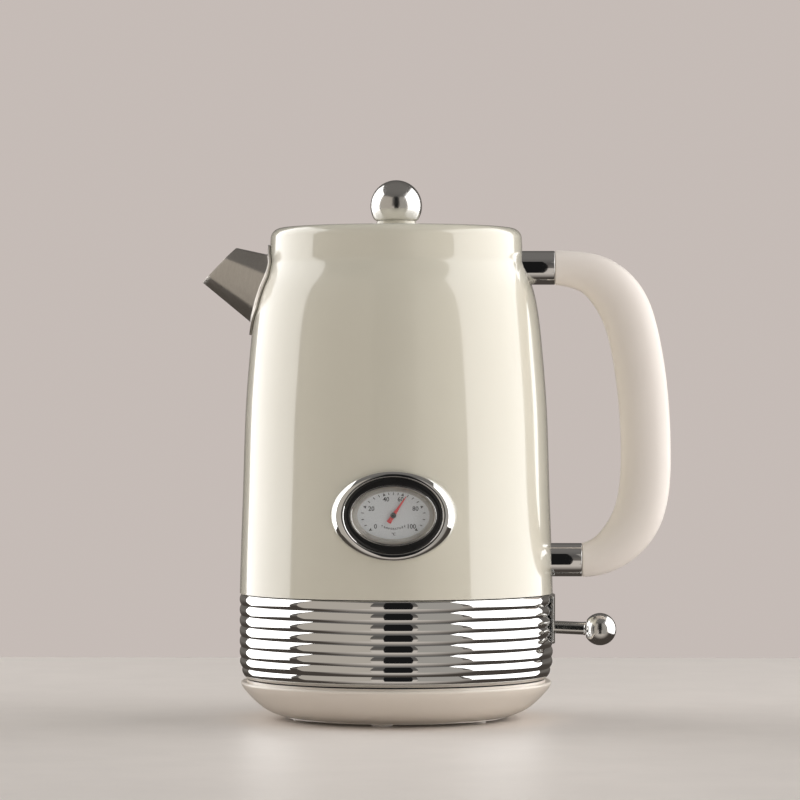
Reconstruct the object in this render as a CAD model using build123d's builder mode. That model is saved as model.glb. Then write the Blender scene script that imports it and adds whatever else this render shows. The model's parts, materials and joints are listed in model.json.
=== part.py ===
from build123d import *
import os
from math import cos, radians, sin

os.makedirs("parts", exist_ok=True)

# An electric kettle on its cordless power base, in millimetres.
# The origin is on the kettle's axis at table height: +X towards the handle,
# -X towards the spout, -Y is the dial side and +Z is up.

# Driving dimensions: the body
wall = 1.2                    # painted steel sheet
body_foot = 60.3              # lower edge of the cream body
body_top = 235.0
collar_radius = 60.6          # straight collar round the lid
rim_radius = 5.0              # rolled edge round the top
side_points = [(75.0, 60.3), (74.3, 85.5), (73.3, 114.3), (72.1, 150.0),
               (70.1, 176.0), (67.9, 195.5), (65.0, 208.0), (61.22, 217.24)]
side_start = (-0.02, 1.0)     # direction of the side at its foot
side_end = (-0.381, 0.925)    # direction of the shoulder below the collar
lid_opening = 50.6
lip_depth = 9.0               # lip turned down round the lid opening

# The ribbed band and what it hides
rib_count = 8
rib_pitch = 5.0
rib_depth = 0.75
rib_crest = 75.1
band_foot = 19.8
band_top = band_foot + rib_count * rib_pitch
taper_height = 30.0           # the ribs draw in below this height
ring_outer = 72.6
ring_inner = 70.6
floor_level = 69.0            # underside of the vessel floor
plate_radius = 45.0

# The spout
root_x = -58.0
mouth_low = (-93.0, 209.1)    # X and Z of the spout's tip
mouth_high = (-76.7, 225.5)   # X and Z of the top of its mouth
sheet = 1.0
flange_gap = 0.5
flange_thickness = 1.0
flange_round = 3.0

# The handle: centreline X and Z, width across the curve and depth along Y
upper_z = 216.1
lower_z = 76.1
upper_grip_x = 76.1
lower_grip_x = 89.1
ferrule_radius = 8.1
grip_stations = [(76.1, 216.1, 16.4, 16.4), (84.5, 215.4, 17.6, 16.8), (93.6, 213.0, 19.9, 17.8),
                 (102.2, 207.0, 22.9, 19.0), (108.6, 198.4, 24.2, 19.8), (112.9, 187.0, 24.1, 20.2),
                 (116.4, 170.0, 24.1, 20.4), (118.9, 148.0, 24.0, 20.4), (119.7, 125.5, 23.9, 20.4),
                 (118.2, 106.0, 24.0, 20.2), (114.4, 94.2, 23.3, 19.6), (108.0, 85.4, 21.4, 18.6),
                 (99.8, 79.0, 18.6, 17.2), (89.1, 76.1, 16.3, 16.3)]
screw_radius = 2.5

# The dial on the front, given as half-widths and half-heights
dial_z = 99.4
bezel_front = 76.6            # distance of the bezel's crest from the axis
bezel_size = (29.3, 21.1)
bezel_hole = (22.7, 17.7)
housing_size = (20.0, 14.0)
plate_depth = 71.9            # front of the dial plate
needle_rest = 34.0            # degrees clockwise from straight up
needle_length = 10.5

# The switch lever on the handle side
pivot_x = 66.0
pivot_z = 44.25
lever_droop = 2.6             # degrees below level at rest
rod_radius = 3.05
ball_radius = 7.75
ball_reach = 31.8             # from the pivot to the middle of the ball
slot_low = 37.6
slot_high = 48.2
slot_half = 3.8

# The lid
knob_radius = 12.4
knob_z = 245.8
neck_top = 238.8
lid_radius = 50.0

# The power base
recess_floor = 13.0
rim_height = 19.1
base_plate_radius = 53.0
foot_height = 1.2
foot_ring = 47.5
gland_z = 6.2
gland_bore = 3.3
gland_outer = 4.3
gland_end = 71.0


def ring(outer, inner, low, high, mode=Mode.ADD):
    # A round disc or tube about the kettle's axis.
    with BuildSketch(Plane.XY.offset(low)) as face:
        Circle(outer)
        if inner:
            Circle(inner, mode=Mode.SUBTRACT)
    extrude(face.sketch, amount=high - low, mode=mode)


def round_bar(radius, start, end, bore=0.0, mode=Mode.ADD):
    # A bar or tube from one point to another.
    axis = Vector(*end) - Vector(*start)
    with BuildSketch(Plane(origin=start, z_dir=axis)) as face:
        Circle(radius)
        if bore:
            Circle(bore, mode=Mode.SUBTRACT)
    extrude(face.sketch, amount=axis.length, mode=mode)


def body_form(grow, low=body_foot, mode=Mode.ADD):
    # The solid inside the body's outside surface, grown outwards or shrunk.
    with BuildSketch(Plane.XZ) as half:
        with BuildLine():
            side = Spline([(r + grow, z) for r, z in side_points], tangents=[side_start, side_end])
            kink = TangentArc(side @ 1, (collar_radius + grow, 220.4), tangent=side % 1)
            collar = Line(kink @ 1, (collar_radius - 0.35 + grow, body_top - rim_radius))
            rim = TangentArc(collar @ 1, (collar_radius - 5.3 + grow, body_top + grow), tangent=(0, 1))
            Polyline(rim @ 1, (0, body_top + grow), (0, low), (side_points[0][0] + grow, low))
            if low < body_foot:
                Line((side_points[0][0] + grow, low), side @ 0)
        make_face()
    revolve(half.sketch, axis=Axis.Z, mode=mode)


def dial_oval(size, near, far, mode=Mode.ADD):
    # An oval block on the dial's own axis, between two distances from the kettle's axis.
    with BuildSketch(dial_plane(near)) as face:
        Ellipse(*size)
    extrude(face.sketch, amount=far - near, mode=mode)


def dial_plane(depth):
    return Plane(origin=(0, -depth, dial_z), x_dir=(1, 0, 0), z_dir=(0, -1, 0))


# ---- the kettle's body ----

mouth_run = Vector(mouth_high[0] - mouth_low[0], 0, mouth_high[1] - mouth_low[1])
mouth_length = mouth_run.length
mouth_normal = Vector(-mouth_run.Z, 0, mouth_run.X)
root_plane = Plane(origin=(root_x, 0, 0), x_dir=(0, -1, 0), z_dir=(-1, 0, 0))
mouth_plane = Plane(origin=(mouth_low[0], 0, mouth_low[1]), x_dir=(0, -1, 0), z_dir=mouth_normal)
# Half-widths and heights of the folded sheet's four corners, root and mouth.
root_corners = [(8.5, 221.2), (20.5, 210.8), (14.0, 188.6), (3.0, 180.2)]
mouth_corners = [(6.0, mouth_length), (10.0, 16.2), (6.6, 4.4), (2.0, 0.0)]
passage_corners = [(6.5, 219.0), (14.5, 211.5), (9.5, 196.0), (2.5, 191.5)]
flange_corners = [(6.5, 227.0), (22.0, 211.5), (17.5, 196.0), (3.5, 184.0)]


def folded_outline(corners, shrink, round_off):
    # A closed outline, the same on both sides, with its corners rounded.
    other_side = [(-x, y) for x, y in reversed(corners)]
    with BuildLine() as outline:
        Polyline(*corners, *other_side, close=True)
    make_face(outline.edges())
    if shrink:
        offset(amount=-shrink, kind=Kind.INTERSECTION, mode=Mode.REPLACE)
    fillet(vertices(), radius=round_off)


with BuildPart() as body_shell:
    body_form(0)
    body_form(-wall, low=body_foot - 10, mode=Mode.SUBTRACT)
    ring(lid_opening + 1.6, 0, body_top - lip_depth, body_top - wall / 2)
    ring(lid_opening, 0, body_top - lip_depth - 5, body_top + 5, mode=Mode.SUBTRACT)
    dial_oval((housing_size[0] + 0.4, housing_size[1] + 0.4), 60, 80, mode=Mode.SUBTRACT)
    with BuildSketch(root_plane) as passage:
        folded_outline(passage_corners, 0, 1.5)
    extrude(passage.sketch, amount=20, mode=Mode.SUBTRACT)
    round_bar(screw_radius + 0.2, (50, 0, upper_z), (70, 0, upper_z), mode=Mode.SUBTRACT)
    round_bar(screw_radius + 0.2, (50, 0, lower_z), (90, 0, lower_z), mode=Mode.SUBTRACT)

with BuildPart() as spout:
    with BuildSketch(root_plane) as flange_face:
        folded_outline(flange_corners, 0, flange_round)
    extrude(flange_face.sketch, amount=25)
    body_form(flange_gap + flange_thickness, low=40, mode=Mode.INTERSECT)
    with BuildSketch(root_plane):
        folded_outline(root_corners, 0, 2.4)
    with BuildSketch(mouth_plane):
        folded_outline(mouth_corners, 0, 1.4)
    loft(ruled=True)
    with BuildSketch(root_plane.offset(-1)):
        folded_outline(root_corners, sheet, 1.8)
    with BuildSketch(mouth_plane.offset(0.3)):
        folded_outline(mouth_corners, sheet, 0.8)
    loft(ruled=True, mode=Mode.SUBTRACT)
    body_form(flange_gap, low=40, mode=Mode.SUBTRACT)

with BuildPart() as spout_gasket:
    with BuildSketch(root_plane) as gasket_face:
        folded_outline(flange_corners, -0.6, flange_round)
    extrude(gasket_face.sketch, amount=25)
    body_form(flange_gap - 0.05, low=40, mode=Mode.INTERSECT)
    body_form(0.05, low=40, mode=Mode.SUBTRACT)
    with BuildSketch(root_plane):
        folded_outline(root_corners, 0, 2.4)
    with BuildSketch(mouth_plane):
        folded_outline(mouth_corners, 0, 1.4)
    loft(ruled=True, mode=Mode.SUBTRACT)

# The filter stands across the inside of the spout's root and clips between two rails.
filter_x = -53.0
filter_half = 20.0
filter_low = 187.0
filter_high = 216.5
filter_plane = Plane(origin=(filter_x, 0, (filter_low + filter_high) / 2), x_dir=(0, 1, 0), z_dir=(1, 0, 0))

with BuildPart() as filter_frame:
    with BuildSketch(filter_plane):
        RectangleRounded(2 * filter_half, filter_high - filter_low, 3)
        RectangleRounded(2 * filter_half - 5, filter_high - filter_low - 5, 2, mode=Mode.SUBTRACT)
        Rectangle(1.6, filter_high - filter_low - 4)
    extrude(amount=1.2, both=True)
    with BuildSketch(filter_plane.offset(1.2)) as finger_tab:
        with Locations((0, 8)):
            Rectangle(12, 2)
    extrude(finger_tab.sketch, amount=5)

with BuildPart() as filter_mesh:
    with BuildSketch(filter_plane.offset(-1.9)):
        RectangleRounded(2 * filter_half - 3, filter_high - filter_low - 3, 2)
        with GridLocations(3.6, 3.4, 9, 7):
            Circle(1.1, mode=Mode.SUBTRACT)
    extrude(amount=0.6)

with BuildPart() as filter_rails:
    with BuildSketch(Plane.XY.offset(192)):
        for side in (-1, 1):
            with Locations((-56, side * 21.4)):
                Rectangle(8, 1.6)
    extrude(amount=20)
    body_form(-wall - 0.1, low=40, mode=Mode.INTERSECT)

with BuildPart() as vessel_floor:
    ring(73.2, 0, floor_level, floor_level + wall)
    ring(73.2, 72.0, floor_level - 3, floor_level)
    round_bar(4.2, (0, 54, floor_level - 5), (0, 54, floor_level + 5), mode=Mode.SUBTRACT)

with BuildPart() as heater_plate:
    ring(plate_radius, 0, floor_level - 3, floor_level - 0.05)

element_ring = 37.0
element_radius = 3.4
element_z = floor_level - 3.1 - element_radius
element_ends = (105.0, 75.0)  # angles of the two cold ends

with BuildPart() as heating_element:
    with BuildLine(Plane.XY.offset(element_z)) as element_path:
        CenterArc((0, 0), element_ring, element_ends[0], 360 - element_ends[0] + element_ends[1])
    with BuildSketch(Plane(element_path.line @ 0, z_dir=element_path.line % 0)) as tube:
        Circle(element_radius)
    sweep(tube.sketch, path=element_path.line)
    for angle in element_ends:
        x = element_ring * cos(radians(angle))
        y = element_ring * sin(radians(angle))
        with Locations((x, y, element_z)):
            Sphere(element_radius)
        round_bar(element_radius, (x, y, element_z), (x, y, element_z - 14))

with BuildPart() as element_terminals:
    for angle in element_ends:
        x = element_ring * cos(radians(angle))
        y = element_ring * sin(radians(angle))
        round_bar(1.1, (x, y, element_z - 20), (x, y, element_z - 14.05))
        with Locations((x, y, element_z - 23)):
            Box(6.3, 0.8, 6)

with BuildPart() as steam_tube:
    ring_low = floor_level - 8
    round_bar(4.0, (0, 54, ring_low), (0, 54, 206), bore=3.2)

with BuildPart() as control_housing:
    ring(27, 0, 38.5, 55.0)
    ring(24.5, 0, 40.5, 53.0, mode=Mode.SUBTRACT)
    with PolarLocations(24.0, 3, start_angle=30):
        with Locations((0, 0, 46.75)):
            Cylinder(3.2, 16.5)
            Cylinder(1.6, 20, mode=Mode.SUBTRACT)

with BuildPart() as control_screws:
    with PolarLocations(24.0, 3, start_angle=30):
        with Locations((0, 0, 51.4)):
            Cylinder(1.5, 29.0)
        with Locations((0, 0, 36.9 - 1.0)):
            Cylinder(2.8, 2.0)

with BuildPart() as bimetal_discs:
    with PolarLocations(12.5, 2):
        with Locations((0, 0, 56.2)):
            Cylinder(9.0, 0.6)
            Cylinder(1.0, 2.0, mode=Mode.SUBTRACT)

with BuildPart() as switch_block:
    with Locations((38.5, 0, 44.4)):
        Box(18, 16, 13)
    with Locations((46.5, 0, 44.6)):
        Box(4, 8.4, 10, mode=Mode.SUBTRACT)
    fillet(switch_block.edges().filter_by(Axis.Z).sort_by(Axis.X)[0:2], radius=1.5)

# ---- the ribbed band, the ring behind it and the bottom cover ----


def crest(z):
    # Crest radius of the ribs, drawn in towards the foot of the band.
    return rib_crest - 1.6 * (max(taper_height - z, 0) / 8.0) ** 2


def lever_slot(near, far, slack):
    # The slot that the switch lever comes out of.
    with BuildSketch(Plane(origin=(near, 0, 0), x_dir=(0, 1, 0), z_dir=(1, 0, 0))) as slot:
        with Locations((0, (slot_low + slot_high) / 2)):
            RectangleRounded(2 * (slot_half + slack), slot_high - slot_low + 2 * slack, 2.0)
    extrude(slot.sketch, amount=far - near, mode=Mode.SUBTRACT)


with BuildPart() as ribbed_band:
    with BuildSketch(Plane.XZ) as band_face:
        with BuildLine():
            for rib in range(rib_count):
                low = band_foot + rib * rib_pitch
                mid = low + rib_pitch / 2
                high = low + rib_pitch
                ThreePointArc((crest(low) - rib_depth, low), (crest(mid), mid),
                              (crest(high) - rib_depth, high))
            top = crest(band_top) - rib_depth
            foot = crest(band_foot) - rib_depth
            Polyline((top, band_top), (ring_outer + 0.3, band_top), (ring_outer + 0.3, 30.0),
                     (71.3, 24.6), (foot - 1.4, band_foot + 1.3), (foot - 3.4, band_foot + 1.3),
                     (foot - 3.4, band_foot), (foot, band_foot))
        make_face()
    revolve(axis=Axis.Z)
    lever_slot(68, 80, 1.2)

with BuildPart() as band_carrier:
    ring(ring_outer, ring_inner, 31.0, floor_level - 3.5)
    ring(ring_inner + 0.5, ring_inner - 2, 24.0, 34.4)
    ring(73.4, ring_inner, band_top + 0.8, band_top + 2.8)
    for angle in (90, 210, 330):
        x = 65.0 * cos(radians(angle))
        y = 65.0 * sin(radians(angle))
        round_bar(4.4, (x, y, 23.8), (x, y, 36))
        round_bar(1.6, (x, y, 20), (x, y, 34), mode=Mode.SUBTRACT)
    lever_slot(60, 80, 0.8)

with BuildPart() as lever_escutcheon:
    ring(76.2, 75.3, 36.5, 59.5)
    with BuildSketch(Plane(origin=(60, 0, 0), x_dir=(0, 1, 0), z_dir=(1, 0, 0))) as plate_face:
        with Locations((0, 48.0)):
            RectangleRounded(26, 23, 2.0)
    extrude(plate_face.sketch, amount=30, mode=Mode.INTERSECT)
    lever_slot(70, 80, 0)

socket_hole = 22.0
with BuildPart() as bottom_cover:
    ring(68.2, socket_hole, 21.3, 23.6)
    ring(62.0, 58.0, recess_floor + 0.4, 21.3)
    for angle in (90, 210, 330):
        x = 65.0 * cos(radians(angle))
        y = 65.0 * sin(radians(angle))
        round_bar(1.7, (x, y, 18), (x, y, 26), mode=Mode.SUBTRACT)

with BuildPart() as bottom_cover_screws:
    for angle in (90, 210, 330):
        x = 65.0 * cos(radians(angle))
        y = 65.0 * sin(radians(angle))
        round_bar(1.5, (x, y, 21.2), (x, y, 33))
        round_bar(2.8, (x, y, 19.4), (x, y, 21.2))

# ---- the switch lever ----

droop = radians(lever_droop)


def along_lever(distance, up=0.0):
    # A point on the lever, measured from its pivot.
    x = pivot_x + distance * cos(droop) + up * sin(droop)
    z = pivot_z - distance * sin(droop) + up * cos(droop)
    return (x, 0, z)


with BuildPart() as lever_rocker:
    round_bar(4.0, (pivot_x, -5, pivot_z), (pivot_x, 5, pivot_z))
    tail = Plane(origin=along_lever(-2.5), x_dir=(0, 1, 0), z_dir=Vector(*along_lever(-1)) - Vector(*along_lever(0)))
    with BuildSketch(tail) as tail_face:
        Rectangle(7, 3.6)
    extrude(tail_face.sketch, amount=14.5)
    round_bar(1.55, (pivot_x, -9, pivot_z), (pivot_x, 9, pivot_z), mode=Mode.SUBTRACT)

with BuildPart() as lever_rod:
    round_bar(rod_radius, along_lever(4.2), along_lever(ball_reach - 6.6))
    round_bar(rod_radius + 0.7, along_lever(ball_reach - 9.4), along_lever(ball_reach - 7.2))

with BuildPart() as lever_ball:
    with Locations(along_lever(ball_reach)):
        Sphere(ball_radius)
    round_bar(ball_radius, along_lever(ball_reach - 10), along_lever(ball_reach - 6.5), mode=Mode.SUBTRACT)

with BuildPart() as lever_pin:
    round_bar(1.5, (pivot_x, -8.6, pivot_z), (pivot_x, 8.6, pivot_z))

with BuildPart() as lever_bracket:
    for side in (-1, 1):
        with Locations((64.0, side * 6.6, 43.5)):
            Box(10, 2.2, 14)
    with Locations((64.0, 0, 35.6)):
        Box(10, 15.4, 1.8)
    round_bar(1.56, (pivot_x, -9, pivot_z), (pivot_x, 9, pivot_z), mode=Mode.SUBTRACT)

# ---- the handle ----

with BuildPart() as handle_grip:
    middles = [Vector(x, 0, z) for x, z, width, depth in grip_stations]
    headings = [after - before for before, after in zip(middles, middles[2:])]
    headings = [Vector(1, 0, 0), *headings, Vector(-1, 0, 0)]
    for middle, heading, (x, z, width, depth) in zip(middles, headings, grip_stations):
        with BuildSketch(Plane(origin=middle, x_dir=(0, 1, 0), z_dir=heading)):
            Ellipse(depth / 2, width / 2)
    loft()
    round_bar(4.55, (70, 0, upper_z), (upper_grip_x + 15.2, 0, upper_z), mode=Mode.SUBTRACT)
    round_bar(4.55, (80, 0, lower_z), (lower_grip_x + 13.2, 0, lower_z), mode=Mode.SUBTRACT)

with BuildPart() as upper_ferrule:
    round_bar(ferrule_radius, (56, 0, upper_z), (upper_grip_x - 0.05, 0, upper_z))
    body_form(0.1, low=40, mode=Mode.SUBTRACT)
    round_bar(screw_radius + 0.2, (50, 0, upper_z), (90, 0, upper_z), mode=Mode.SUBTRACT)

with BuildPart() as lower_ferrule:
    round_bar(ferrule_radius - 0.1, (66, 0, lower_z), (lower_grip_x - 0.05, 0, lower_z))
    body_form(0.1, low=40, mode=Mode.SUBTRACT)
    round_bar(screw_radius + 0.2, (50, 0, lower_z), (95, 0, lower_z), mode=Mode.SUBTRACT)

with BuildPart() as grip_inserts:
    round_bar(4.5, (upper_grip_x, 0, upper_z), (upper_grip_x + 15, 0, upper_z), bore=screw_radius + 0.05)
    round_bar(4.5, (lower_grip_x, 0, lower_z), (lower_grip_x + 13, 0, lower_z), bore=screw_radius + 0.05)

# The flat heads of both screws are inside the vessel, on soft sealing washers.
upper_head = 58.2
lower_head = 71.2

with BuildPart() as handle_screws:
    round_bar(screw_radius, (upper_head, 0, upper_z), (upper_grip_x + 14, 0, upper_z))
    round_bar(4.4, (upper_head - 2.4, 0, upper_z), (upper_head, 0, upper_z))
    round_bar(screw_radius, (lower_head, 0, lower_z), (lower_grip_x + 12, 0, lower_z))
    round_bar(4.4, (lower_head - 2.4, 0, lower_z), (lower_head, 0, lower_z))

with BuildPart() as handle_washers:
    round_bar(5.4, (upper_head + 0.02, 0, upper_z), (65, 0, upper_z), bore=screw_radius + 0.1)
    round_bar(5.4, (lower_head + 0.02, 0, lower_z), (80, 0, lower_z), bore=screw_radius + 0.1)
    body_form(-wall - 0.1, low=40, mode=Mode.INTERSECT)

# ---- the dial ----

with BuildPart() as dial_bezel:
    dial_oval(bezel_size, 64, bezel_front)
    fillet(dial_bezel.edges().sort_by(Axis.Y)[0], radius=1.9)
    dial_oval(bezel_hole, 60, 80, mode=Mode.SUBTRACT)
    front_edges = dial_bezel.edges().group_by(Axis.Y)[0]
    fillet(front_edges.sort_by(SortBy.LENGTH)[0], radius=0.9)
    body_form(0.1, low=20, mode=Mode.SUBTRACT)

with BuildPart() as dial_gasket:
    dial_oval((bezel_hole[0] - 0.1, bezel_hole[1] - 0.1), 68, bezel_front - 0.6)
    dial_oval((housing_size[0] + 0.1, housing_size[1] + 0.1), 60, 80, mode=Mode.SUBTRACT)
    body_form(0.1, low=20, mode=Mode.SUBTRACT)

with BuildPart() as dial_trim:
    dial_oval(housing_size, plate_depth + 0.1, bezel_front - 0.4)
    with BuildSketch(dial_plane(plate_depth)):
        Ellipse(16.1, 11.1)
    with BuildSketch(dial_plane(bezel_front)):
        Ellipse(19.5, 13.5)
    loft(mode=Mode.SUBTRACT)

with BuildPart() as dial_face:
    dial_oval((17.6, 12.6), plate_depth - 0.5, plate_depth)
    round_bar(0.9, (0, -plate_depth - 1, dial_z), (0, -plate_depth + 2, dial_z), mode=Mode.SUBTRACT)

with BuildPart() as dial_housing:
    dial_oval(housing_size, 58.0, plate_depth)
    dial_oval((17.8, 12.8), 59.5, plate_depth + 1, mode=Mode.SUBTRACT)
    round_bar(3.1, (0, -70, dial_z), (0, -50, dial_z), mode=Mode.SUBTRACT)

with BuildPart() as dial_lens:
    dial_oval((17.9, 11.9), 74.6, 75.4)

with BuildPart() as dial_probe:
    round_bar(3.0, (0, -68, dial_z), (0, -49, dial_z))
    fillet(dial_probe.edges().sort_by(Axis.Y)[-1], radius=2.0)

with BuildPart() as dial_nut:
    with BuildSketch(dial_plane(54.0)):
        RegularPolygon(radius=6.2, side_count=6)
        Circle(3.05, mode=Mode.SUBTRACT)
    extrude(amount=3.9)

with BuildPart() as needle_hub:
    round_bar(1.5, (0, -73.9, dial_z), (0, -73.2, dial_z))
    round_bar(0.8, (0, -73.2, dial_z), (0, -68.5, dial_z))

with BuildPart() as dial_needle:
    lean = radians(needle_rest)
    with BuildSketch(Plane(origin=(0, -72.8, dial_z), x_dir=(cos(lean), 0, -sin(lean)), z_dir=(0, -1, 0))):
        with BuildLine():
            Polyline((0.12, needle_length), (0.85, 0), (0.95, -2.2), (1.1, -3.9), (-1.1, -3.9),
                     (-0.95, -2.2), (-0.85, 0), (-0.12, needle_length), close=True)
        make_face()
        Circle(1.3)
        Circle(0.82, mode=Mode.SUBTRACT)
    extrude(amount=0.3)

# ---- the lid ----

bolt_bore = 2.1

with BuildPart() as lid_cap:
    with BuildSketch(Plane.XZ):
        with BuildLine():
            crown = ThreePointArc((0, 235.3), (25, 235.2), (lid_radius - 0.9, 234.9))
            edge = TangentArc(crown @ 1, (lid_radius, 234.0), tangent=crown % 1)
            Polyline(edge @ 1, (lid_radius, 229.0), (lid_radius - 1.6, 229.0), (lid_radius - 1.6, 233.2),
                     (0, 233.6), crown @ 0)
        make_face()
    revolve(axis=Axis.Z)
    ring(bolt_bore, 0, 230, 240, mode=Mode.SUBTRACT)

with BuildPart() as lid_plug:
    ring(47.0, 0, 219.5, 228.8)
    ring(45.4, 0, 221.1, 230, mode=Mode.SUBTRACT)
    ring(6.0, 0, 221.0, 233.4)
    with PolarLocations(33, 6):
        with Locations((0, 0, 226.5)):
            Cylinder(3.0, 12)
    ring(bolt_bore, 0, 215, 240, mode=Mode.SUBTRACT)

with BuildPart() as lid_seal:
    with BuildSketch(Plane.XZ):
        with BuildLine():
            Polyline((47.05, 226.0), (48.8, 226.0), (50.25, 227.4), (48.8, 227.4), (48.8, 228.0),
                     (50.1, 228.7), (47.05, 228.7), close=True)
        make_face()
    revolve(axis=Axis.Z)

with BuildPart() as lid_baffle:
    ring(43.0, bolt_bore, 218.3, 219.4)
    with PolarLocations(30, 8, start_angle=22.5):
        with Locations((0, 0, 219)):
            Cylinder(3.0, 4, mode=Mode.SUBTRACT)

with BuildPart() as lid_neck:
    ring(9.7, bolt_bore, 235.35, neck_top - 0.02)

with BuildPart() as lid_knob:
    with Locations((0, 0, knob_z)):
        Sphere(knob_radius)
    ring(knob_radius, 0, knob_z - knob_radius, neck_top, mode=Mode.SUBTRACT)
    fillet(lid_knob.edges().sort_by(Axis.Z)[0], radius=0.6)
    ring(2.05, 0, neck_top - 2, knob_z, mode=Mode.SUBTRACT)

with BuildPart() as knob_screw:
    ring(2.0, 0, 218.2, knob_z - 0.4)
    ring(4.0, 0, 216.8, 218.2)

# ---- the cordless connector ----

with BuildPart() as kettle_socket:
    ring(19.5, 15.0, 20.4, 34.0)
    ring(19.5, 0, 34.0, 36.4)
    ring(5.6, 3.8, 23.0, 34.0)

with BuildPart() as socket_contacts:
    ring(3.7, 2.7, 23.6, 33.95)
    ring(9.2, 8.4, 24.0, 33.95)

with BuildPart() as base_connector:
    ring(14.3, 10.0, 7.6, 29.0)
    ring(18.0, 0, 6.2, 10.9)
    ring(14.3, 0, 10.8, 15.0)
    ring(2.25, 0, 5, 20, mode=Mode.SUBTRACT)
    ring(8.05, 6.95, 8, 20, mode=Mode.SUBTRACT)

with BuildPart() as base_contacts:
    ring(2.2, 0, 6.3, 31.0)
    ring(8.0, 7.0, 8.05, 28.0)

# ---- the power base ----

with BuildPart() as base_shell:
    with BuildSketch(Plane.XZ):
        with BuildLine():
            bowl = Spline([(base_plate_radius + 0.4, 1.6), (59.2, 3.3), (64.5, 6.2), (70.5, 11.8), (74.4, 17.0)],
                          tangents=[(1, 0.2), (0.45, 1)])
            lip = TangentArc(bowl @ 1, (73.0, 17.9), tangent=bowl % 1)
            Polyline(lip @ 1, (71.5, 17.9), (71.3, rim_height), (70.3, rim_height), (67.3, recess_floor),
                     (14.5, recess_floor), (14.5, recess_floor - 2), (66.0, recess_floor - 2), (62.6, 7.8),
                     (58.0, 5.2), (base_plate_radius + 0.4, 3.7), bowl @ 0)
        make_face()
    revolve(axis=Axis.Z)
    for angle in (30, 150, 270):
        x = 34.0 * cos(radians(angle))
        y = 34.0 * sin(radians(angle))
        round_bar(3.8, (x, y, 3.25), (x, y, recess_floor - 1))
        round_bar(1.5, (x, y, 2), (x, y, recess_floor - 2), mode=Mode.SUBTRACT)
    round_bar(gland_outer + 0.05, (0, 48, gland_z), (0, 80, gland_z), mode=Mode.SUBTRACT)

with BuildPart() as base_plate:
    ring(base_plate_radius, 0, foot_height, foot_height + 2)
    with PolarLocations(foot_ring, 6, start_angle=-97):
        with Locations((0, 0, foot_height)):
            Cylinder(5.05, 1.6, mode=Mode.SUBTRACT)
    for angle in (30, 150, 270):
        x = 34.0 * cos(radians(angle))
        y = 34.0 * sin(radians(angle))
        round_bar(1.7, (x, y, 0), (x, y, 5), mode=Mode.SUBTRACT)
        round_bar(3.2, (x, y, 0), (x, y, foot_height + 0.9), mode=Mode.SUBTRACT)

with BuildPart() as base_feet:
    with PolarLocations(foot_ring, 6, start_angle=-97):
        with Locations((0, 0, 0.99)):
            Cylinder(5.0, 1.98)
    fillet(base_feet.edges().group_by(Axis.Z)[0], radius=0.4)

with BuildPart() as base_screws:
    for angle in (30, 150, 270):
        x = 34.0 * cos(radians(angle))
        y = 34.0 * sin(radians(angle))
        round_bar(1.45, (x, y, foot_height + 0.95), (x, y, recess_floor - 2.5))
        round_bar(2.9, (x, y, foot_height - 0.4), (x, y, foot_height + 0.85))
        round_bar(1.45, (x, y, foot_height + 0.85), (x, y, foot_height + 0.95))

with BuildPart() as cord_gland:
    round_bar(gland_outer, (0, 54, gland_z), (0, gland_end, gland_z), bore=gland_bore)

with BuildPart() as cord_clamp:
    with Locations((0, 45.5, 6.9)):
        Box(19, 5, 7.0)
    round_bar(gland_bore, (0, 40, gland_z), (0, 52, gland_z), mode=Mode.SUBTRACT)
    with Locations((0, 45.5, 3.4)):
        Box(2 * gland_bore, 6, 6, mode=Mode.SUBTRACT)

with BuildPart() as terminal_block:
    with Locations((0, 30, 6.6)):
        Box(24, 9, 6.4)
    with GridLocations(7.5, 1, 3, 1):
        with Locations((0, 30, 8.6)):
            Cylinder(1.4, 4, mode=Mode.SUBTRACT)

with BuildPart() as terminal_screws:
    with GridLocations(7.5, 1, 3, 1):
        with Locations((0, 30, 8.2)):
            Cylinder(1.35, 2.8)

pieces = {
    "body_shell": body_shell, "spout": spout, "spout_gasket": spout_gasket,
    "filter_frame": filter_frame, "filter_mesh": filter_mesh, "filter_rails": filter_rails,
    "vessel_floor": vessel_floor, "heater_plate": heater_plate, "heating_element": heating_element,
    "element_terminals": element_terminals, "steam_tube": steam_tube,
    "control_housing": control_housing, "control_screws": control_screws,
    "bimetal_discs": bimetal_discs, "switch_block": switch_block, "ribbed_band": ribbed_band,
    "band_carrier": band_carrier, "lever_escutcheon": lever_escutcheon,
    "bottom_cover": bottom_cover, "bottom_cover_screws": bottom_cover_screws,
    "lever_rocker": lever_rocker, "lever_rod": lever_rod, "lever_ball": lever_ball,
    "lever_pin": lever_pin, "lever_bracket": lever_bracket, "handle_grip": handle_grip,
    "upper_ferrule": upper_ferrule, "lower_ferrule": lower_ferrule, "grip_inserts": grip_inserts,
    "handle_screws": handle_screws, "handle_washers": handle_washers, "dial_bezel": dial_bezel,
    "dial_gasket": dial_gasket, "dial_trim": dial_trim, "dial_face": dial_face,
    "dial_housing": dial_housing, "dial_lens": dial_lens, "dial_probe": dial_probe,
    "dial_nut": dial_nut, "needle_hub": needle_hub, "dial_needle": dial_needle,
    "lid_cap": lid_cap, "lid_plug": lid_plug, "lid_seal": lid_seal, "lid_baffle": lid_baffle,
    "lid_neck": lid_neck, "lid_knob": lid_knob, "knob_screw": knob_screw,
    "kettle_socket": kettle_socket, "socket_contacts": socket_contacts,
    "base_connector": base_connector, "base_contacts": base_contacts, "base_shell": base_shell,
    "base_plate": base_plate, "base_feet": base_feet, "base_screws": base_screws,
    "cord_gland": cord_gland, "cord_clamp": cord_clamp, "terminal_block": terminal_block,
    "terminal_screws": terminal_screws,
}
for name, piece in pieces.items():
    piece.part.label = name
    export_step(piece.part, f"parts/{name}.step")
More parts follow.
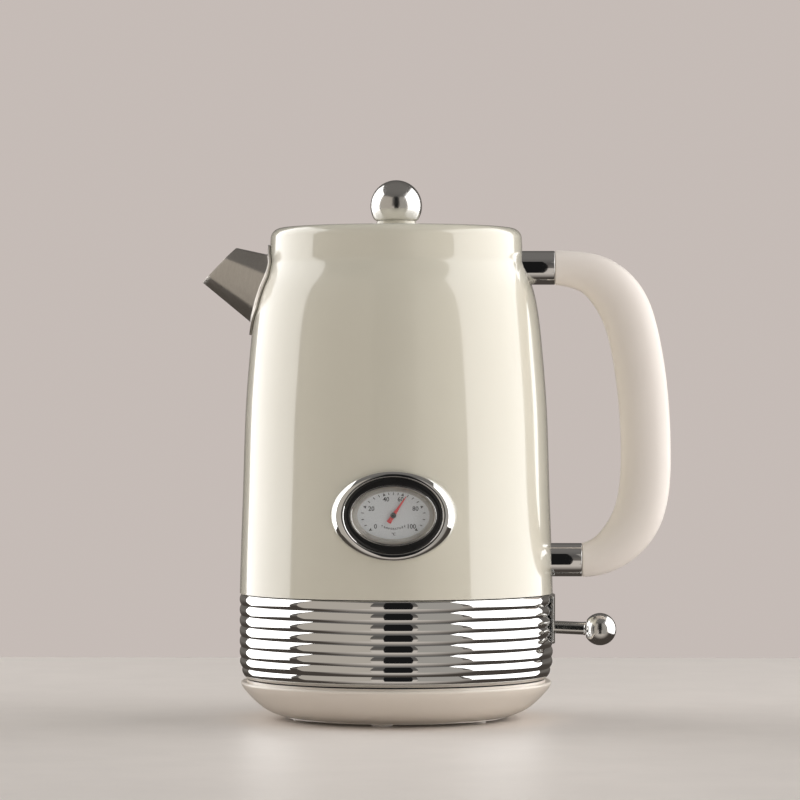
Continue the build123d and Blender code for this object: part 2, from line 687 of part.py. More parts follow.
print(len(pieces), "pieces written")
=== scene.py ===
import json
import math
from functools import partial
import bmesh
import bpy
import numpy as np
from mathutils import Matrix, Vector


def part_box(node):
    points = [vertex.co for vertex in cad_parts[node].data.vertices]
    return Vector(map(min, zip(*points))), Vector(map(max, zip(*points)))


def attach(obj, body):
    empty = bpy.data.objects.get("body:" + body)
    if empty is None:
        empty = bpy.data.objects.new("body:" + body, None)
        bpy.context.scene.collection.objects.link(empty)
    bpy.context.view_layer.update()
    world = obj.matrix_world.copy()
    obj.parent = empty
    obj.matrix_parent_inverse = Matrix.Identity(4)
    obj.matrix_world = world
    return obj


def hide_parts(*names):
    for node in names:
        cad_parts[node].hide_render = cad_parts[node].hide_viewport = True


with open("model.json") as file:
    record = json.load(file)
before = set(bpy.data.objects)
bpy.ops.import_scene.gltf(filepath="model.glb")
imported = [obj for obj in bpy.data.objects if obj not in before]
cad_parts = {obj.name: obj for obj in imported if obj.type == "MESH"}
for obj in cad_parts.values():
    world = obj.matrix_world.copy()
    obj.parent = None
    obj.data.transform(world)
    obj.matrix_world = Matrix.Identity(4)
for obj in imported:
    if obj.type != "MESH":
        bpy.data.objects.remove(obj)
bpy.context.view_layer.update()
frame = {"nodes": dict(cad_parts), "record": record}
mm = 0.001

# camera first: a long lens, level with the middle of the kettle
cameraSetup = {"distance": 1.870, "height": 0.1527, "turn": 1.0, "aside": 0.0018, "lens": 175.3}


def linked(name, data):
    thing = bpy.data.objects.new(name, data)
    bpy.context.collection.objects.link(thing)
    return thing


def makeCamera(setup):
    data = bpy.data.cameras.new("camera")
    data.lens = setup["lens"]
    data.sensor_width = 36.0
    camera = linked("camera", data)
    turn = math.radians(setup["turn"])
    right = Vector((math.cos(turn), math.sin(turn), 0))
    back = Vector((math.sin(turn), -math.cos(turn), 0))
    camera.location = back * setup["distance"] + right * setup["aside"] + Vector((0, 0, setup["height"]))
    camera.rotation_euler = (math.radians(90), 0, turn)
    bpy.context.scene.camera = camera


makeCamera(cameraSetup)
print("camera set")


# mesh helpers
def newObject(name, verts, faces, sharp=40.0):
    mesh = bpy.data.meshes.new(name)
    mesh.from_pydata([tuple(v) for v in verts], [], [tuple(f) for f in faces])
    mesh.validate()
    piece = linked(name, mesh)
    tidyMesh(piece, sharp)
    return piece


def smooth(piece, sharp):
    piece.data.shade_smooth()
    piece.data.set_sharp_from_angle(angle=math.radians(sharp))


def tidyMesh(piece, sharp=40.0, fillHoles=False):
    # doubles merged or holes filled, faces turned outwards, smooth except at real corners
    work = bmesh.new()
    work.from_mesh(piece.data)
    if fillHoles:
        bmesh.ops.holes_fill(work, edges=[e for e in work.edges if e.is_boundary], sides=0)
    else:
        bmesh.ops.remove_doubles(work, verts=work.verts, dist=1e-6)
    bmesh.ops.recalc_face_normals(work, faces=work.faces)
    work.to_mesh(piece.data)
    work.free()
    smooth(piece, sharp)


def bake(piece):
    # the evaluated shape as a plain mesh, with its modifiers gone
    graph = bpy.context.evaluated_depsgraph_get()
    mesh = bpy.data.meshes.new_from_object(piece.evaluated_get(graph))
    piece.modifiers.clear()
    piece.data = mesh
    return piece


def arc(cx, cz, radius, start, end, steps=8):
    angles = np.radians(np.linspace(start, end, steps + 1))
    return [(cx + radius * math.cos(a), cz + radius * math.sin(a)) for a in angles]


def curveThrough(points, startWay, endWay, steps=10):
    # a smooth curve through the points, leaving and arriving along the given directions
    p = np.array(points, float)
    gaps = np.linalg.norm(np.diff(p, axis=0), axis=1)
    n = len(p)
    a = np.zeros((n, n))
    b = np.zeros((n, p.shape[1]))
    a[0, 0] = a[-1, -1] = 1
    b[0] = np.array(startWay, float) / np.linalg.norm(startWay)
    b[-1] = np.array(endWay, float) / np.linalg.norm(endWay)
    for i in range(1, n - 1):
        h0, h1 = gaps[i - 1], gaps[i]
        a[i, i - 1], a[i, i], a[i, i + 1] = 1 / h0, 2 / h0 + 2 / h1, 1 / h1
        b[i] = 3 * (p[i] - p[i - 1]) / h0 ** 2 + 3 * (p[i + 1] - p[i]) / h1 ** 2
    slopes = np.linalg.solve(a, b)
    out = []
    for i in range(n - 1):
        h = gaps[i]
        for k in range(steps if i < n - 2 else steps + 1):
            t = k / steps
            out.append((2 * t ** 3 - 3 * t ** 2 + 1) * p[i] + (t ** 3 - 2 * t ** 2 + t) * h * slopes[i]
                       + (3 * t ** 2 - 2 * t ** 3) * p[i + 1] + (t ** 3 - t ** 2) * h * slopes[i + 1])
    return [tuple(v) for v in out]


def lathe(name, outline, closed=False, steps=192, sharp=40.0, centre=(0, 0, 0), axis="z"):
    # outline holds radius and height in millimetres; an open one starts and ends on the axis
    verts, rings = [], []
    for radius, height in outline:
        if radius < 1e-6 and not closed:
            rings.append([len(verts)])
            verts.append((0, 0, height))
            continue
        rings.append(list(range(len(verts), len(verts) + steps)))
        for k in range(steps):
            angle = 2 * math.pi * k / steps
            verts.append((radius * math.cos(angle), radius * math.sin(angle), height))
    faces = []
    pairs = list(zip(rings, rings[1:] + rings[:1])) if closed else list(zip(rings, rings[1:]))
    for low, high in pairs:
        for k in range(steps):
            j = (k + 1) % steps
            if len(low) == 1:
                faces.append((low[0], high[j], high[k]))
            elif len(high) == 1:
                faces.append((low[k], low[j], high[0]))
            else:
                faces.append((low[k], low[j], high[j], high[k]))
    placed = []
    for x, y, z in verts:
        if axis == "x":
            x, y, z = z, x, y
        elif axis == "-y":
            x, y, z = x, -z, y
        placed.append((centre[0] + x * mm, centre[1] + y * mm, centre[2] + z * mm))
    return newObject(name, placed, faces, sharp)


def stripMesh(name, loops, closedAcross=False, sharp=40.0):
    # loops of equal length joined side by side
    count = len(loops[0])
    verts = [v for loop in loops for v in loop]
    faces = []
    last = len(loops) if closedAcross else len(loops) - 1
    for i in range(last):
        a, b = i * count, ((i + 1) % len(loops)) * count
        for k in range(count):
            j = (k + 1) % count
            faces.append((a + k, a + j, b + j, b + k))
    return newObject(name, verts, faces, sharp)


def cutWith(piece, cutter, sharp=40.0):
    tool = piece.modifiers.new("cut", "BOOLEAN")
    tool.operation = "DIFFERENCE"
    tool.solver = "EXACT"
    tool.object = cutter
    bake(piece)
    bpy.data.objects.remove(cutter)
    smooth(piece, sharp)


def ovalLoop(halfWidth, halfHeight, depth, z, steps):
    turns = [2 * math.pi * k / steps for k in range(steps)]
    return [(halfWidth * math.cos(a) * mm, -depth * mm, z + halfHeight * math.sin(a) * mm) for a in turns]


def ovalBlock(name, halfWidth, halfHeight, near, far, z, steps=96):
    # an oval block along the dial's axis, between two distances in front of the kettle's axis
    block = stripMesh(name, [ovalLoop(halfWidth, halfHeight, depth, z, steps) for depth in (near, far)])
    tidyMesh(block, fillHoles=True)
    return block


def soften(piece, width, segments=3, angle=40.0, sharp=40.0):
    # real edges are never knife sharp
    bevel = piece.modifiers.new("soften", "BEVEL")
    bevel.width = width * mm
    bevel.segments = segments
    bevel.limit_method = "ANGLE"
    bevel.angle_limit = math.radians(angle)
    bake(piece)
    smooth(piece, sharp)


def thicken(piece, thickness, offset=-1.0):
    solid = piece.modifiers.new("wall", "SOLIDIFY")
    solid.thickness = thickness * mm
    solid.offset = offset
    bake(piece)


def standFor(piece, body, slot, *nodes):
    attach(piece, body)
    if nodes:
        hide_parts(*nodes)


def fit(piece, finish, body, slot, *nodes):
    standFor(paint(piece, finish), body, slot, *nodes)


# materials
def groupNode(tree, groupTree, **values):
    node = tree.nodes.new("ShaderNodeGroup")
    node.node_tree = groupTree
    for name, value in values.items():
        node.inputs[name].default_value = value
    return node


def newGroup(name, inputs, outputs):
    group = bpy.data.node_groups.new(name, "ShaderNodeTree")
    for label, kind, default in inputs:
        socket = group.interface.new_socket(name=label, in_out="INPUT", socket_type=kind)
        if default is not None:
            socket.default_value = default
    for label, kind in outputs:
        group.interface.new_socket(name=label, in_out="OUTPUT", socket_type=kind)
    return group, group.nodes.new("NodeGroupInput"), group.nodes.new("NodeGroupOutput")


def noise(tree, vector, scale, detail=2.0, rough=0.5):
    node = tree.nodes.new("ShaderNodeTexNoise")
    node.inputs["Detail"].default_value = detail
    node.inputs["Roughness"].default_value = rough
    feed(tree, node.inputs["Vector"], vector)
    feed(tree, node.inputs["Scale"], scale)
    return node.outputs["Fac"]


def wire(tree, *pairs):
    for source, socket in pairs:
        tree.links.new(source, socket)


def feed(tree, socket, value):
    # a number or colour is set on the socket, and another node's output is linked to it
    if isinstance(value, (int, float, tuple)):
        socket.default_value = value
    else:
        tree.links.new(value, socket)


def calc(tree, operation, *values):
    node = tree.nodes.new("ShaderNodeMath")
    node.operation = operation
    for socket, value in zip(node.inputs, values):
        feed(tree, socket, value)
    return node.outputs[0]


def ranged(tree, value, fromLow, fromHigh, toLow, toHigh):
    node = tree.nodes.new("ShaderNodeMapRange")
    labels = ("Value", "From Min", "From Max", "To Min", "To Max")
    for label, given in zip(labels, (value, fromLow, fromHigh, toLow, toHigh)):
        feed(tree, node.inputs[label], given)
    return node.outputs["Result"]


def mixed(tree, factor, first, second):
    node = tree.nodes.new("ShaderNodeMix")
    node.data_type = "RGBA"
    for label, given in (("Factor", factor), ("A", first), ("B", second)):
        feed(tree, node.inputs[label], given)
    return node.outputs["Result"]


def split(tree, vector):
    node = tree.nodes.new("ShaderNodeSeparateXYZ")
    tree.links.new(vector, node.inputs[0])
    return node.outputs


def joined(tree, **parts):
    node = tree.nodes.new("ShaderNodeCombineXYZ")
    for label, value in parts.items():
        tree.links.new(value, node.inputs[label])
    return node.outputs[0]


def buildSmudgeGroup():
    # faint handling marks and cleaning haze, as a roughness that wanders between two values
    group, given, result = newGroup("handlingHaze", [("Vector", "NodeSocketVector", None),
        ("Scale", "NodeSocketFloat", 40.0), ("Low", "NodeSocketFloat", 0.03),
        ("High", "NodeSocketFloat", 0.1)], [("Roughness", "NodeSocketFloat")])
    broad = noise(group, given.outputs["Vector"], given.outputs["Scale"], 4.0, 0.6)
    fine = noise(group, given.outputs["Vector"], calc(group, "MULTIPLY", given.outputs["Scale"], 14.0), 2.0)
    both = calc(group, "MULTIPLY", broad, calc(group, "ADD", fine, 0.5))
    wander = ranged(group, both, 0.3, 0.75, given.outputs["Low"], given.outputs["High"])
    group.links.new(wander, result.inputs["Roughness"])
    return group


def buildPeelGroup():
    # the slow waviness of a sprayed or plated skin with a fine grain on it
    group, given, result = newGroup("skinRipple", [("Vector", "NodeSocketVector", None),
        ("Wave", "NodeSocketFloat", 120.0), ("Grain", "NodeSocketFloat", 900.0),
        ("GrainShare", "NodeSocketFloat", 0.2)], [("Height", "NodeSocketFloat")])
    slow = noise(group, given.outputs["Vector"], given.outputs["Wave"], 1.0)
    fine = noise(group, given.outputs["Vector"], given.outputs["Grain"], 2.0)
    height = calc(group, "ADD", slow, calc(group, "MULTIPLY", fine, given.outputs["GrainShare"]))
    group.links.new(height, result.inputs["Height"])
    return group


def buildToneGroup():
    # a colour that drifts a little over the surface
    group, given, result = newGroup("toneDrift", [("Vector", "NodeSocketVector", None),
        ("Scale", "NodeSocketFloat", 9.0), ("First", "NodeSocketColor", (0.8, 0.8, 0.8, 1)),
        ("Second", "NodeSocketColor", (0.7, 0.7, 0.7, 1))], [("Color", "NodeSocketColor")])
    drift = noise(group, given.outputs["Vector"], given.outputs["Scale"], 3.0, 0.55)
    share = ranged(group, drift, 0.35, 0.65, 0.0, 1.0)
    colour = mixed(group, share, given.outputs["First"], given.outputs["Second"])
    group.links.new(colour, result.inputs["Color"])
    return group


def buildBrushGroup():
    # fine straight scratches from a satin belt, long along the first axis of the given vector
    group, given, result = newGroup("satinBrush", [("Vector", "NodeSocketVector", None),
        ("Length", "NodeSocketFloat", 30.0), ("Width", "NodeSocketFloat", 2600.0)],
        [("Streaks", "NodeSocketFloat")])
    stretch = group.nodes.new("ShaderNodeVectorMath")
    stretch.operation = "MULTIPLY"
    scales = joined(group, X=given.outputs["Length"], Y=given.outputs["Width"], Z=given.outputs["Width"])
    wire(group, (given.outputs["Vector"], stretch.inputs[0]), (scales, stretch.inputs[1]))
    coarse = noise(group, stretch.outputs[0], 1.0, 3.0, 0.7)
    broad = noise(group, stretch.outputs[0], 0.22, 2.0, 0.5)
    group.links.new(calc(group, "ADD", calc(group, "MULTIPLY", coarse, 0.6),
                          calc(group, "MULTIPLY", broad, 0.4)), result.inputs["Streaks"])
    return group


smudgeGroup, peelGroup, toneGroup, brushGroup = (buildSmudgeGroup(), buildPeelGroup(),
                                                 buildToneGroup(), buildBrushGroup())

# a finish that gives no value of its own takes this one
plainFinish = {"metallic": 0.0, "coat": 0.0, "coatRough": 0.3, "wave": 200.0, "share": 1.0, "haze": 90.0}
finishes = {
    "creamEnamel": {"first": (0.755, 0.725, 0.615), "second": (0.74, 0.705, 0.595), "low": 0.16,
                    "high": 0.24, "coat": 1.0, "coatRough": 0.03, "wave": 55.0, "grain": 1100.0,
                    "share": 0.05, "bump": 0.02, "haze": 22.0},
    "creamPlastic": {"first": (0.86, 0.79, 0.71), "second": (0.845, 0.775, 0.69), "low": 0.29,
                     "high": 0.31, "coat": 0.25, "coatRough": 0.15, "wave": 60.0, "grain": 2400.0,
                     "share": 0.25, "bump": 0.012, "haze": 30.0},
    "softCream": {"first": (0.9, 0.84, 0.785), "second": (0.885, 0.82, 0.765), "low": 0.36, "high": 0.46,
                  "wave": 140.0, "grain": 2600.0, "share": 0.8, "bump": 0.05, "haze": 50.0},
    "chrome": {"first": (0.86, 0.86, 0.85), "second": (0.83, 0.83, 0.83), "metallic": 1.0, "low": 0.015,
               "high": 0.06, "wave": 160.0, "grain": 1400.0, "share": 0.05, "bump": 0.012, "haze": 60.0},
    "satinChrome": {"first": (0.8, 0.79, 0.77), "second": (0.76, 0.75, 0.73), "metallic": 1.0, "low": 0.13,
                    "high": 0.2, "wave": 160.0, "grain": 1800.0, "share": 0.2, "bump": 0.02, "haze": 60.0},
    "dialRim": {"first": (0.66, 0.62, 0.56), "second": (0.6, 0.56, 0.5), "metallic": 1.0, "low": 0.3,
                "high": 0.4, "grain": 3200.0, "share": 0.6, "bump": 0.03},
    "paleRubber": {"first": (0.62, 0.57, 0.52), "second": (0.57, 0.52, 0.47), "low": 0.45, "high": 0.6,
                   "grain": 1800.0, "bump": 0.1, "haze": 80.0},
    "blackGloss": {"first": (0.012, 0.012, 0.012), "second": (0.02, 0.02, 0.02), "low": 0.12, "high": 0.25,
                   "coat": 0.3, "coatRough": 0.1, "grain": 2000.0, "share": 0.3, "bump": 0.03,
                   "haze": 80.0},
    "blackPlastic": {"first": (0.03, 0.03, 0.03), "second": (0.04, 0.04, 0.042), "low": 0.4, "high": 0.55,
                     "wave": 300.0, "grain": 2400.0, "share": 0.8, "bump": 0.12, "haze": 60.0},
    "silicone": {"first": (0.06, 0.06, 0.062), "second": (0.09, 0.09, 0.09), "low": 0.5, "high": 0.7,
                 "grain": 1800.0, "bump": 0.12, "haze": 80.0},
    "dialSilver": {"first": (0.66, 0.69, 0.71), "second": (0.61, 0.64, 0.66), "low": 0.35, "high": 0.5,
                   "wave": 300.0, "grain": 5200.0, "bump": 0.05},
    "dialInk": {"first": (0.025, 0.025, 0.03), "second": (0.04, 0.04, 0.04), "low": 0.5, "high": 0.6,
                "wave": 300.0, "grain": 4000.0, "bump": 0.02},
    "needleRed": {"first": (0.72, 0.035, 0.04), "second": (0.62, 0.03, 0.035), "low": 0.25, "high": 0.4,
                  "coat": 0.3, "coatRough": 0.1, "wave": 300.0, "grain": 4000.0, "share": 0.5,
                  "bump": 0.02},
    "castAluminium": {"first": (0.72, 0.72, 0.73), "second": (0.62, 0.62, 0.63), "metallic": 1.0,
                      "low": 0.35, "high": 0.55, "wave": 260.0, "grain": 1500.0, "bump": 0.2, "haze": 60.0},
    "brightBrass": {"first": (0.8, 0.6, 0.28), "second": (0.7, 0.5, 0.22), "metallic": 1.0, "low": 0.15,
                    "high": 0.35, "wave": 260.0, "grain": 1500.0, "share": 0.4, "bump": 0.05}}
brushedFinishes = {
    "satinSteel": {"first": (0.68, 0.65, 0.61), "second": (0.60, 0.57, 0.53), "low": 0.28, "high": 0.38,
                   "turn": (0, 75, 0), "length": 60.0, "width": 4200.0, "bumpBy": 0.012},
    "innerSteel": {"first": (0.60, 0.60, 0.59), "second": (0.48, 0.48, 0.47), "low": 0.25, "high": 0.4,
                   "turn": (0, 0, 0), "length": 30.0, "width": 2600.0, "bumpBy": 0.03}}


def newMaterial(name):
    material = bpy.data.materials.new(name)
    material.use_nodes = True
    tree = material.node_tree
    place = tree.nodes.new("ShaderNodeTexCoord").outputs["Object"]
    return material, tree, tree.nodes["Principled BSDF"], place


def addBump(tree, shader, height, strength):
    bump = tree.nodes.new("ShaderNodeBump")
    bump.inputs["Strength"].default_value = strength
    bump.inputs["Distance"].default_value = 0.001
    tree.links.new(height, bump.inputs["Height"])
    tree.links.new(bump.outputs["Normal"], shader.inputs["Normal"])


def shadedMaterial(name, look):
    material, tree, shader, place = newMaterial(name)
    tone = groupNode(tree, toneGroup, Scale=12.0, First=(*look["first"], 1), Second=(*look["second"], 1))
    haze = groupNode(tree, smudgeGroup, Scale=look["haze"], Low=look["low"], High=look["high"])
    ripple = groupNode(tree, peelGroup, Wave=look["wave"], Grain=look["grain"], GrainShare=look["share"])
    for group in (tone, haze, ripple):
        tree.links.new(place, group.inputs["Vector"])
    tree.links.new(tone.outputs["Color"], shader.inputs["Base Color"])
    tree.links.new(haze.outputs["Roughness"], shader.inputs["Roughness"])
    addBump(tree, shader, ripple.outputs["Height"], look["bump"])
    shader.inputs["Metallic"].default_value = look["metallic"]
    shader.inputs["Coat Weight"].default_value = look["coat"]
    shader.inputs["Coat Roughness"].default_value = look["coatRough"]
    return material


def brushedMaterial(name, first, second, low, high, turn, length, width, bumpBy):
    material, tree, shader, place = newMaterial(name)
    turned = tree.nodes.new("ShaderNodeMapping")
    turned.inputs["Rotation"].default_value = [math.radians(v) for v in turn]
    tree.links.new(place, turned.inputs["Vector"])
    streaks = groupNode(tree, brushGroup, Length=length, Width=width)
    tree.links.new(turned.outputs["Vector"], streaks.inputs["Vector"])
    share = ranged(tree, streaks.outputs["Streaks"], 0.35, 0.65, 0.0, 1.0)
    tree.links.new(mixed(tree, share, (*first, 1), (*second, 1)), shader.inputs["Base Color"])
    tree.links.new(ranged(tree, streaks.outputs["Streaks"], 0.3, 0.7, low, high), shader.inputs["Roughness"])
    addBump(tree, shader, streaks.outputs["Streaks"], bumpBy)
    shader.inputs["Metallic"].default_value = 1.0
    return material


def glassMaterial():
    # thin flat glass: seen through straight, with a reflection that grows at the edges
    material, tree, shader, place = newMaterial("dialGlass")
    haze = groupNode(tree, smudgeGroup, Scale=90.0, Low=0.0, High=0.05)
    tree.links.new(place, haze.inputs["Vector"])
    tree.links.new(haze.outputs["Roughness"], shader.inputs["Roughness"])
    shader.inputs["Base Color"].default_value = (0.97, 0.98, 0.98, 1)
    shader.inputs["Alpha"].default_value = 0.06
    shader.inputs["Specular IOR Level"].default_value = 0.5
    return material


materials = {name: shadedMaterial(name, {**plainFinish, **look}) for name, look in finishes.items()}
for name, look in brushedFinishes.items():
    materials[name] = brushedMaterial(name, **look)
materials["dialGlass"] = glassMaterial()
print("materials ready")


def paint(piece, name):
    piece.data.materials.clear()
    piece.data.materials.append(materials[name])
    return piece


# the cream body
bodyShape = {"side": [(75.0, 60.3), (74.3, 85.5), (73.3, 114.3), (72.1, 150.0), (70.1, 176.0), (67.9, 195.5),
                      (65.0, 208.0), (61.22, 217.24)],
             "footWay": (-0.02, 1.0), "shoulderWay": (-0.381, 0.925), "collar": 60.6, "collarFoot": 220.4,
             "top": 235.0, "rim": 5.0, "lean": 0.35, "wall": 1.2, "opening": 50.6, "lipDepth": 9.0,
             "dialHole": (20.4, 14.4, 60, 80), "holeFrom": -80, "holeTo": -50,
             "pouringHole": [(6.5, 218.8), (14.3, 211.3), (9.4, 196), (2.5, 191.6)]}


def kinkArc(start, way, end, steps=8):
    # the arc that leaves start along way and reaches end
    s, e, w = np.array(start), np.array(end), np.array(way) / np.linalg.norm(way)
    chord = e - s
    side = np.array([-w[1], w[0]])
    radius = chord.dot(chord) / (2 * chord.dot(side))
    centre = s + side * radius
    a0 = math.atan2(*(s - centre)[::-1])
    turn = 2 * math.atan2(chord.dot(side), chord.dot(w))
    out = []
    for k in range(1, steps + 1):
        a = a0 + turn * k / steps
        out.append((centre[0] + abs(radius) * math.cos(a), centre[1] + abs(radius) * math.sin(a)))
    return out


def sideOutline(shape):
    side = curveThrough(shape["side"], shape["footWay"], shape["shoulderWay"], 8)
    kink = kinkArc(side[-1], shape["shoulderWay"], (shape["collar"], shape["collarFoot"]), 6)
    rimFoot = (shape["collar"] - shape["lean"], shape["top"] - shape["rim"])
    rim = kinkArc(rimFoot, (-0.02, 1.0), (shape["collar"] - shape["rim"] - 0.3, shape["top"]), 12)
    middle = [(shape["collar"] - shape["lean"] / 2, (shape["collarFoot"] + rimFoot[1]) / 2)]
    return side + kink + middle + [rimFoot] + rim


bodySide = sideOutline(bodyShape)
sideHeights = [z for r, z in bodySide[:-12]]
sideRadii = [r for r, z in bodySide[:-12]]


def bodyRadius(z):
    return float(np.interp(z, sideHeights, sideRadii))


def makeBody(shape):
    wall = shape["wall"]
    inner = [(r - wall, z) for r, z in bodySide[:-13]][::-1]
    lip = shape["opening"]
    outline = list(bodySide)
    outline += arc(lip + 0.8, shape["top"] - 0.8, 0.8, 90, 180, 5)
    outline += [(lip, shape["top"] - shape["lipDepth"]), (lip + wall, shape["top"] - shape["lipDepth"]),
                (lip + wall, shape["top"] - wall), (shape["collar"] - shape["rim"], shape["top"] - wall)]
    outline += [(shape["collar"] - 2.2, shape["top"] - 2.6)] + inner
    body = lathe("creamBody", outline, closed=True, steps=288)
    cutWith(body, ovalBlock("dialHole", *shape["dialHole"], dialZ), 30.0)
    corners = shape["pouringHole"] + [(-y, z) for y, z in reversed(shape["pouringHole"])]
    mouth = stripMesh("mouthHole", [[(x * mm, y * mm, z * mm) for y, z in corners]
                                    for x in (shape["holeFrom"], shape["holeTo"])])
    tidyMesh(mouth, fillHoles=True)
    cutWith(body, mouth, 30.0)
    paint(body, "creamEnamel")
    # the enamel stops at the rim: the inside is bare steel
    body.data.materials.append(materials["innerSteel"])
    for face in body.data.polygons:
        reach, height = math.hypot(face.center.x, face.center.y) / mm, face.center.z / mm
        outward = face.normal.x * face.center.x + face.normal.y * face.center.y
        inside = outward < 0 and lip + wall * 0.5 < reach < bodyRadius(height) - wall * 0.6
        face.material_index = 1 if inside and height < shape["top"] - wall * 1.1 else 0
    return body


dialLow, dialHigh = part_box("dial_trim")
dialZ = (dialLow[2] + dialHigh[2]) / 2
standFor(makeBody(bodyShape), "kettle", "cream_enamel", "body_shell")
print("body made")

# the ribbed band, by rule
bandShape = {"ribs": 8, "pitch": 5.0, "depth": 0.75, "crest": 75.1, "foot": 19.8, "taperFrom": 30.0,
             "taper": 1.6, "around": 360, "rows": 13, "slotHalf": 5.0, "slotLow": 36.4, "slotHigh": 49.4}


def newNodesTree(name, inputs):
    tree = bpy.data.node_groups.new(name, "GeometryNodeTree")
    tree.is_modifier = True
    tree.interface.new_socket(name="Geometry", in_out="INPUT", socket_type="NodeSocketGeometry")
    for label, kind, default in inputs:
        socket = tree.interface.new_socket(name=label, in_out="INPUT", socket_type=kind)
        if default is not None:
            socket.default_value = default
    tree.interface.new_socket(name="Geometry", in_out="OUTPUT", socket_type="NodeSocketGeometry")
    return tree, tree.nodes.new("NodeGroupInput"), tree.nodes.new("NodeGroupOutput")


def onPoints(tree, count, spots, thing):
    # one copy of the thing on each of the points, which the rule moves to their spots
    line = tree.nodes.new("GeometryNodeMeshLine")
    move = tree.nodes.new("GeometryNodeSetPosition")
    copies = tree.nodes.new("GeometryNodeInstanceOnPoints")
    wire(tree, (count, line.inputs["Count"]), (line.outputs["Mesh"], move.inputs["Geometry"]),
         (spots, move.inputs["Position"]), (move.outputs["Geometry"], copies.inputs["Points"]),
         (thing, copies.inputs["Instance"]))
    return copies


def closeTree(tree, geometry, finish, result):
    real = tree.nodes.new("GeometryNodeRealizeInstances")
    cover = tree.nodes.new("GeometryNodeSetMaterial")
    wire(tree, (geometry, real.inputs["Geometry"]), (real.outputs["Geometry"], cover.inputs["Geometry"]),
         (finish, cover.inputs["Material"]), (cover.outputs["Geometry"], result.inputs["Geometry"]))
    return tree


def runTree(name, tree, values, base=None):
    piece = linked(name, base or bpy.data.meshes.new(name))
    modifier = piece.modifiers.new(name, "NODES")
    modifier.node_group = tree
    for item in tree.interface.items_tree:
        if item.item_type == "SOCKET" and item.in_out == "INPUT" and item.name in values:
            modifier[item.identifier] = values[item.name]
    return bake(piece)


def buildBandTree():
    number, whole = "NodeSocketFloat", "NodeSocketInt"
    tree, given, result = newNodesTree("ribbedBand", [("Ribs", number, 8.0), ("Pitch", number, 0.005),
        ("Depth", number, 0.00075), ("Crest", number, 0.0751), ("Foot", number, 0.0198),
        ("TaperFrom", number, 0.03), ("Taper", number, 0.0016), ("Columns", whole, 361), ("Rows", whole, 105),
        ("SlotHalf", number, 0.005), ("SlotLow", number, 0.036), ("SlotHigh", number, 0.049),
        ("Finish", "NodeSocketMaterial", None)])
    ins, do = given.outputs, partial(calc, tree)
    grid = tree.nodes.new("GeometryNodeMeshGrid")
    for socket, value in zip(grid.inputs, (1.0, 1.0, ins["Columns"], ins["Rows"])):
        feed(tree, socket, value)
    place = split(tree, tree.nodes.new("GeometryNodeInputPosition").outputs[0])
    angle = do("MULTIPLY", do("ADD", place["X"], 0.5), 2 * math.pi)
    along = do("MULTIPLY", do("ADD", place["Y"], 0.5), ins["Ribs"])
    height = do("ADD", do("MULTIPLY", along, ins["Pitch"]), ins["Foot"])
    # within one rib: -1 at its lower groove, 0 at its crest, 1 at its upper groove
    within = do("SUBTRACT", do("MULTIPLY", do("FRACT", along), 2.0), 1.0)
    dip = do("MULTIPLY", do("POWER", do("ABSOLUTE", within), 2.0), ins["Depth"])
    low = do("MAXIMUM", do("SUBTRACT", ins["TaperFrom"], height), 0.0)
    taper = do("MULTIPLY", do("POWER", do("DIVIDE", low, 0.008), 2.0), ins["Taper"])
    radius = do("SUBTRACT", do("SUBTRACT", ins["Crest"], dip), taper)
    point = joined(tree, X=do("MULTIPLY", radius, do("COSINE", angle)),
                   Y=do("MULTIPLY", radius, do("SINE", angle)), Z=height)
    move = tree.nodes.new("GeometryNodeSetPosition")
    where = split(tree, tree.nodes.new("GeometryNodeInputPosition").outputs[0])
    inSlot = do("MULTIPLY", do("LESS_THAN", do("ABSOLUTE", where["Y"]), ins["SlotHalf"]),
                do("GREATER_THAN", where["X"], 0.0))
    inSlot = do("MULTIPLY", inSlot, do("GREATER_THAN", where["Z"], ins["SlotLow"]))
    inSlot = do("MULTIPLY", inSlot, do("LESS_THAN", where["Z"], ins["SlotHigh"]))
    trim = tree.nodes.new("GeometryNodeDeleteGeometry")
    trim.domain = "FACE"
    weld = tree.nodes.new("GeometryNodeMergeByDistance")
    weld.inputs["Distance"].default_value = 0.00001
    wire(tree, (grid.outputs["Mesh"], move.inputs["Geometry"]), (point, move.inputs["Position"]),
         (move.outputs["Geometry"], trim.inputs["Geometry"]),
         (do("GREATER_THAN", inSlot, 0.5), trim.inputs["Selection"]),
         (trim.outputs["Geometry"], weld.inputs["Geometry"]))
    return closeTree(tree, weld.outputs["Geometry"], ins["Finish"], result)


def makeBand(shape):
    lengths = ("Pitch", "Depth", "Crest", "Foot", "TaperFrom", "Taper", "SlotHalf", "SlotLow", "SlotHigh")
    values = {label: shape[label[0].lower() + label[1:]] * mm for label in lengths}
    values.update({"Ribs": float(shape["ribs"]), "Columns": shape["around"] + 1,
                   "Rows": shape["ribs"] * (shape["rows"] - 1) + 1, "Finish": materials["chrome"]})
    band = runTree("ribbedBand", buildBandTree(), values)
    thicken(band, 1.3, offset=-1.0)
    tidyMesh(band, 28.0)
    return band


fit(makeBand(bandShape), "chrome", "kettle", "chrome", "ribbed_band")
print("band made")

# the power base
baseShape = {"bowl": [(53.4, 1.6), (59.2, 3.3), (64.5, 6.2), (70.5, 11.8), (74.4, 17.0)],
             "startWay": (1, 0.2), "endWay": (0.45, 1), "lip": (73.0, 17.9), "rim": 19.1, "recess": 13.0,
             "rimOuter": 71.5, "rimInner": 70.3, "recessEdge": 67.3, "connector": 14.5, "sheet": 2,
             "inside": [(66.0, 11.0), (62.6, 7.8), (58.0, 5.2), (53.4, 3.7)]}


